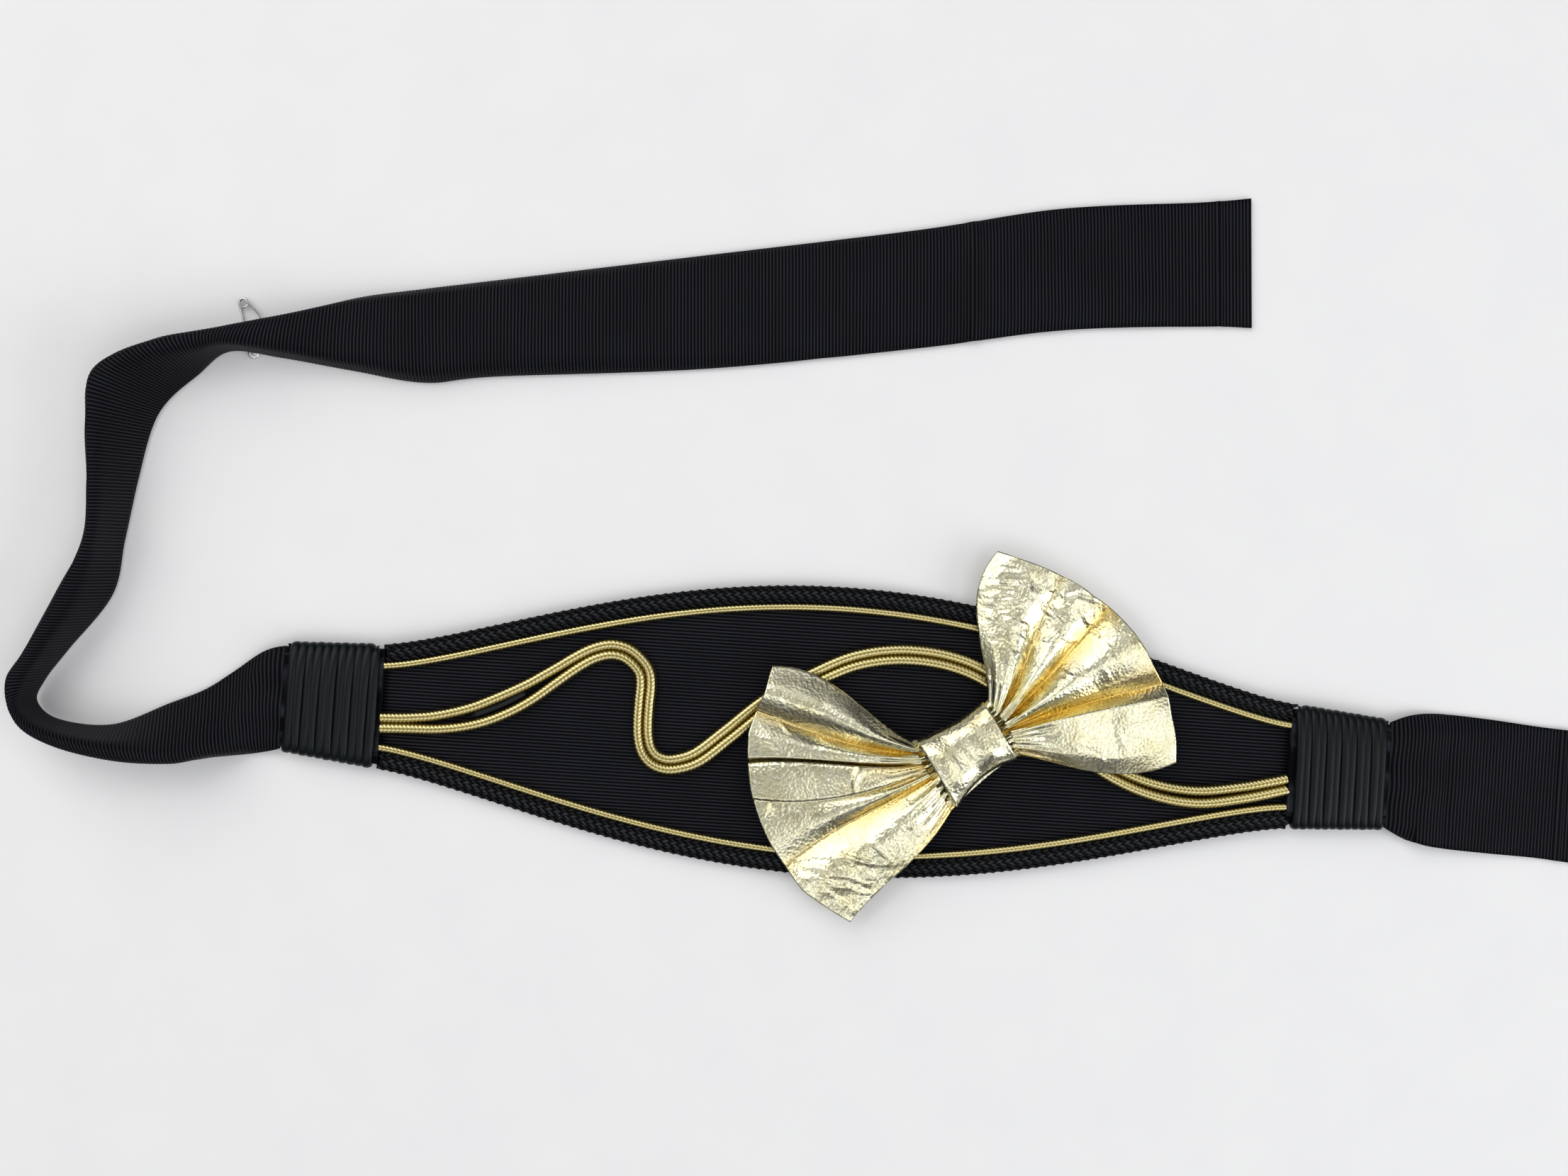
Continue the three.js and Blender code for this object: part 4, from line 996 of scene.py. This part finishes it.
def make_bow():
    wing_steps, waist_steps, columns = 110, 12, 156
    folds = len(LEFT_WING) - 1
    steps = 2 * wing_steps + waist_steps
    base = PANEL_WALL + WAVE_CORD + 3 * GAP + BOW_WALL
    amber_shade = {}

    def place(along, across):
        step = np.rint(along * steps)
        fold = across * folds
        left = step <= wing_steps
        right = step >= wing_steps + waist_steps
        share_left = np.clip(1 - step / wing_steps, 0, 1)
        share_right = np.clip((step - wing_steps - waist_steps) / wing_steps, 0, 1)
        lu, lv, lh, la = on_wing(LEFT_WING, -1, share_left, fold)
        ru, rv, rh, ra = on_wing(RIGHT_WING, 1, share_right, fold)
        inside = np.clip((step - wing_steps) / waist_steps, 0, 1)
        ease = inside * inside * (3 - 2 * inside)
        u = np.where(left, lu, np.where(right, ru, lu + (ru - lu) * inside))
        v = np.where(left, lv, np.where(right, rv, lv + (rv - lv) * ease))
        h = np.where(left, lh, np.where(right, rh, lh + (rh - lh) * ease))
        share = np.where(left, share_left, np.where(right, share_right, 0))
        pinch = np.sin(np.pi * inside) ** 0.5 * ((step > wing_steps) & (step < wing_steps + waist_steps))
        v = v * (1 - 0.12 * pinch)
        z = base + h * BOW_RELIEF
        z = z + (KNOT_AXIS - z) * pinch * 0.85
        flat_place = np.stack([u, v, np.zeros_like(u)], 1)
        soft = rough(flat_place, 17, 1) * 0.7 + rough(flat_place, 6, 2) * 0.14
        far = np.clip(share * 3 - 1, 0, 1)
        crinkled = far * (np.clip((v - 10) / 12, 0, 1) * (u > 0) + np.clip((-4 - v) / 8, 0, 1) * (u < 0))
        crinkle = (1 - 2 * np.abs(rough(flat_place, 8, 3))) * 0.5 - np.abs(rough(flat_place, 4, 4)) * 0.18
        open_part = np.clip(share * 3, 0, 1)
        z = z + open_part * (soft + crinkled * crinkle + crease_height(u, v))
        pleats = np.clip(1 - share * 3.2, 0, 1) * (share > 0)
        z = z + 0.5 * pleats * np.sin(fold * 2 * np.pi * 1.5)
        z = np.maximum(z, base - 0.7)
        amber_shade["deep"] = np.where(left, la, np.where(right, ra, 0.3))
        x, y = on_bow(u, v)
        return np.stack([x, y, z], 1)

    bow = sheet_of("pleated_leather_bow", steps, columns, place)
    # Painted shade and painted reflection along the folds, as much as the wing tables give.
    paint(bow, "amber_shade", np.clip((amber_shade["deep"] - 0.35) / 0.6, 0, 1) ** 1.2)
    face_up(bow)
    if sum(p.normal.z for p in list(bow.data.polygons)[::50]) < 0:
        in_edit(bow, lambda: bpy.ops.mesh.flip_normals())
    thicken(bow, BOW_WALL)
    smooth(bow)
    settle(bow, LEATHER, ["bow"])


make_bow()


def make_knot():
    around, steps = 96, 40
    half = KNOT_LENGTH / 2

    def place(along, turn_share):
        u = (along * 2 - 1) * half
        turn = 2 * np.pi * turn_share
        wide = KNOT_HALF_WIDTH * through(*KNOT_WIDTHS, along)
        shift = KNOT_HALF_WIDTH * through(*KNOT_SHIFTS, along)
        high = KNOT_HEIGHT / 2 * (0.97 + 0.03 * np.abs(2 * along - 1))
        v = shift + wide * oval(np.cos(turn), KNOT_OVAL)
        z = KNOT_AXIS + high * oval(np.sin(turn), KNOT_OVAL)
        top = np.clip(np.sin(turn), 0, 1)
        spot = np.stack([u, v, z], 1)
        fold = 0.5 * np.sin(u * 0.42 + 0.1 * v - 0.6)
        z = z + top * (fold + 0.5 * rough(spot, 8, 5) + 0.05 * rough(spot, 2.5, 6))
        x, y = on_bow(u, v)
        return np.stack([x, y, z], 1)

    knot = sheet_of("leather_knot", steps, around, place)
    in_edit(
        knot,
        lambda: bpy.ops.mesh.remove_doubles(threshold=1e-6),
        lambda: bpy.ops.mesh.normals_make_consistent(inside=False),
    )
    middle = np.array([*on_bow(0, 0), KNOT_AXIS])
    faces = list(knot.data.polygons)[::20]
    outward = sum(np.dot(np.array(p.center) / MM - middle, np.array(p.normal)) for p in faces)
    if outward < 0:
        in_edit(knot, lambda: bpy.ops.mesh.flip_normals())
    at = corners(knot)
    # The knot's lower sides are painted deep gold, darker towards the bottom: painted shade.
    low = np.clip((KNOT_AXIS + 3 - at[:, 2]) / 6, 0, 1)
    paint(knot, "amber_shade", low * 0.9)
    thicken(knot, KNOT_WALL)
    smooth(knot)
    settle(knot, LEATHER, ["bow_knot"])


make_knot()


# Safety pin

def at_pin(places):
    row = LEFT_STRAP[PIN_ROW]
    x0 = row[0] * LEFT_STRAP_LENGTH - WRAP_END + 9.8
    y0 = row[1] * LEFT_STRAP_LENGTH + LEFT_DRIFT - 2.6
    c, s = math.cos(PIN_TURN), math.sin(PIN_TURN)
    x, y, z = np.asarray(places, float).T
    return np.stack([x0 + x * c - y * s, y0 + x * s + y * c, z], 1)


def make_pin():
    low = PIN_WIRE / 2 + 0.05
    rise = PIN_WIRE + GAP
    radius = PIN_COIL / 2 - PIN_WIRE / 2
    coil = PIN_LENGTH - PIN_COIL / 2
    points = [(PIN_CAP_LENGTH - 1.5, radius * 0.45, low), (coil * 0.6, radius * 0.8, low),
              (coil * 0.85, radius * 0.95, low)]
    for i in range(13):
        turn = math.pi / 2 - i * math.pi / 4
        points.append((coil + radius * math.cos(turn), radius * math.sin(turn), low + rise * i / 8))
    top = points[-1][2]
    for x, y, share in ((coil * 0.72, -PIN_SPREAD, 0.5), (coil * 0.5, -PIN_SPREAD * 0.75, 0.1),
                        (PIN_CAP_LENGTH - 1.5, -radius * 0.45, 0)):
        points.append((x, y, low + (top - low) * share))
    line = at_pin(route(points, 260))
    wire = swept("pin_wire", line, 12, lambda a, b: PIN_WIRE / 2 * np.ones_like(b))
    settle(wire, STEEL, ["safety_pin_wire"])

    def cap_place(along, around):
        x = PIN_CAP_LENGTH * (1 - along)
        turn = 2 * np.pi * around
        shape = np.clip(1 - ((x - PIN_CAP_LENGTH) / PIN_CAP_LENGTH) ** 4, 0.02, 1) ** 0.5
        shape = shape * (1 - 0.25 * np.clip((x - 3) / 2, 0, 1))
        rolled = 1 - 0.35 * np.exp(-((np.cos(turn)) ** 2) / 0.05) * (np.sin(turn) > 0)
        y = 2.3 * shape * oval(np.cos(turn), 0.8)
        z = 0.8 + 0.72 * shape * rolled * oval(np.sin(turn), 0.8)
        return at_pin(np.stack([x, y, z], 1))

    cap = sheet_of("pin_cap", 20, 32, cap_place)
    close_up(cap)
    smooth(cap, 60)
    settle(cap, STEEL, ["safety_pin_cap"])


make_pin()


# Floor, light and camera

blank()
bpy.ops.mesh.primitive_plane_add(size=6, location=(0, 0, -0.0004))
floor = bpy.context.object
floor.name = "floor"
paper = new_look("floor_paper", Roughness=0.9)
grain = fine_noise(paper, place_of(paper), 30, 2)
feed(paper, "Base Color", ramp(paper, grain, [(0.3, (0.93, 0.93, 0.935)), (0.7, (0.95, 0.95, 0.95))]))
floor.data.materials.append(paper)

world = bpy.data.worlds.new("studio")
bpy.context.scene.world = world
world.use_nodes = True
sky = world.node_tree
heading = sky.nodes.new("ShaderNodeTexCoord").outputs["Generated"]
split = sky.nodes.new("ShaderNodeSeparateXYZ")
sky.links.new(heading, split.inputs["Vector"])
dome = sky.nodes.new("ShaderNodeValToRGB")
sky.links.new(split.outputs["Z"], dome.inputs["Fac"])
dome.color_ramp.elements[0].color = (0.05, 0.052, 0.055, 1)
dome.color_ramp.elements[1].color = (0.42, 0.42, 0.41, 1)
for height, glow in ((0.4, 0.08), (0.68, 0.22), (0.87, 0.8), (0.96, 0.55)):
    dome.color_ramp.elements.new(height).color = (glow, glow, glow * 1.02, 1)
patches = sky.nodes.new("ShaderNodeTexNoise")
sky.links.new(heading, patches.inputs["Vector"])
patches.inputs["Scale"].default_value = 2.6
patches.inputs["Detail"].default_value = 1.5
panes = sky.nodes.new("ShaderNodeMapRange")
sky.links.new(patches.outputs["Fac"], panes.inputs["Value"])
for socket, value in (("From Min", 0.42), ("From Max", 0.58), ("To Min", 0.3), ("To Max", 1.35)):
    panes.inputs[socket].default_value = value
room = sky.nodes.new("ShaderNodeVectorMath")
room.operation = "SCALE"
sky.links.new(dome.outputs["Color"], room.inputs[0])
sky.links.new(panes.outputs["Result"], room.inputs["Scale"])
sky.links.new(room.outputs["Vector"], sky.nodes["Background"].inputs["Color"])
sky.nodes["Background"].inputs["Strength"].default_value = 1.95
bpy.context.scene.view_settings.view_transform = "Standard"


def soft_light(name, place, size, power, colour):
    data = bpy.data.lights.new(name, "AREA")
    data.shape = "RECTANGLE"
    data.size, data.size_y = size
    data.energy = power
    data.color = colour
    lamp = bpy.data.objects.new(name, data)
    lamp.location = place
    lamp.rotation_euler = (Vector((0, 0, 0)) - Vector(place)).to_track_quat("-Z", "Y").to_euler()
    bpy.context.scene.collection.objects.link(lamp)


soft_light("window", (-1.4, 1.2, 1.5), (2.6, 2.0), 23, (1.0, 0.99, 0.97))
soft_light("low_fill", (1.7, -0.6, 1.0), (1.6, 1.2), 15, (0.97, 0.99, 1.0))

# The camera looks straight down; the frame's width is what it sees of the floor, in millimetres.
CAMERA_HEIGHT = 839
CAMERA_X, CAMERA_Y = -23.2, 55.4
CAMERA_TURN = math.radians(3.76)
FRAME_WIDTH = 604.3
SENSOR = 36
camera_data = bpy.data.cameras.new("camera")
camera_data.sensor_width = SENSOR
camera_data.sensor_fit = "HORIZONTAL"
camera_data.lens = SENSOR * CAMERA_HEIGHT / FRAME_WIDTH
camera = bpy.data.objects.new("camera", camera_data)
camera.location = (CAMERA_X * MM, CAMERA_Y * MM, CAMERA_HEIGHT * MM)
camera.rotation_euler = (0, 0, CAMERA_TURN)
bpy.context.scene.collection.objects.link(camera)
bpy.context.scene.camera = camera
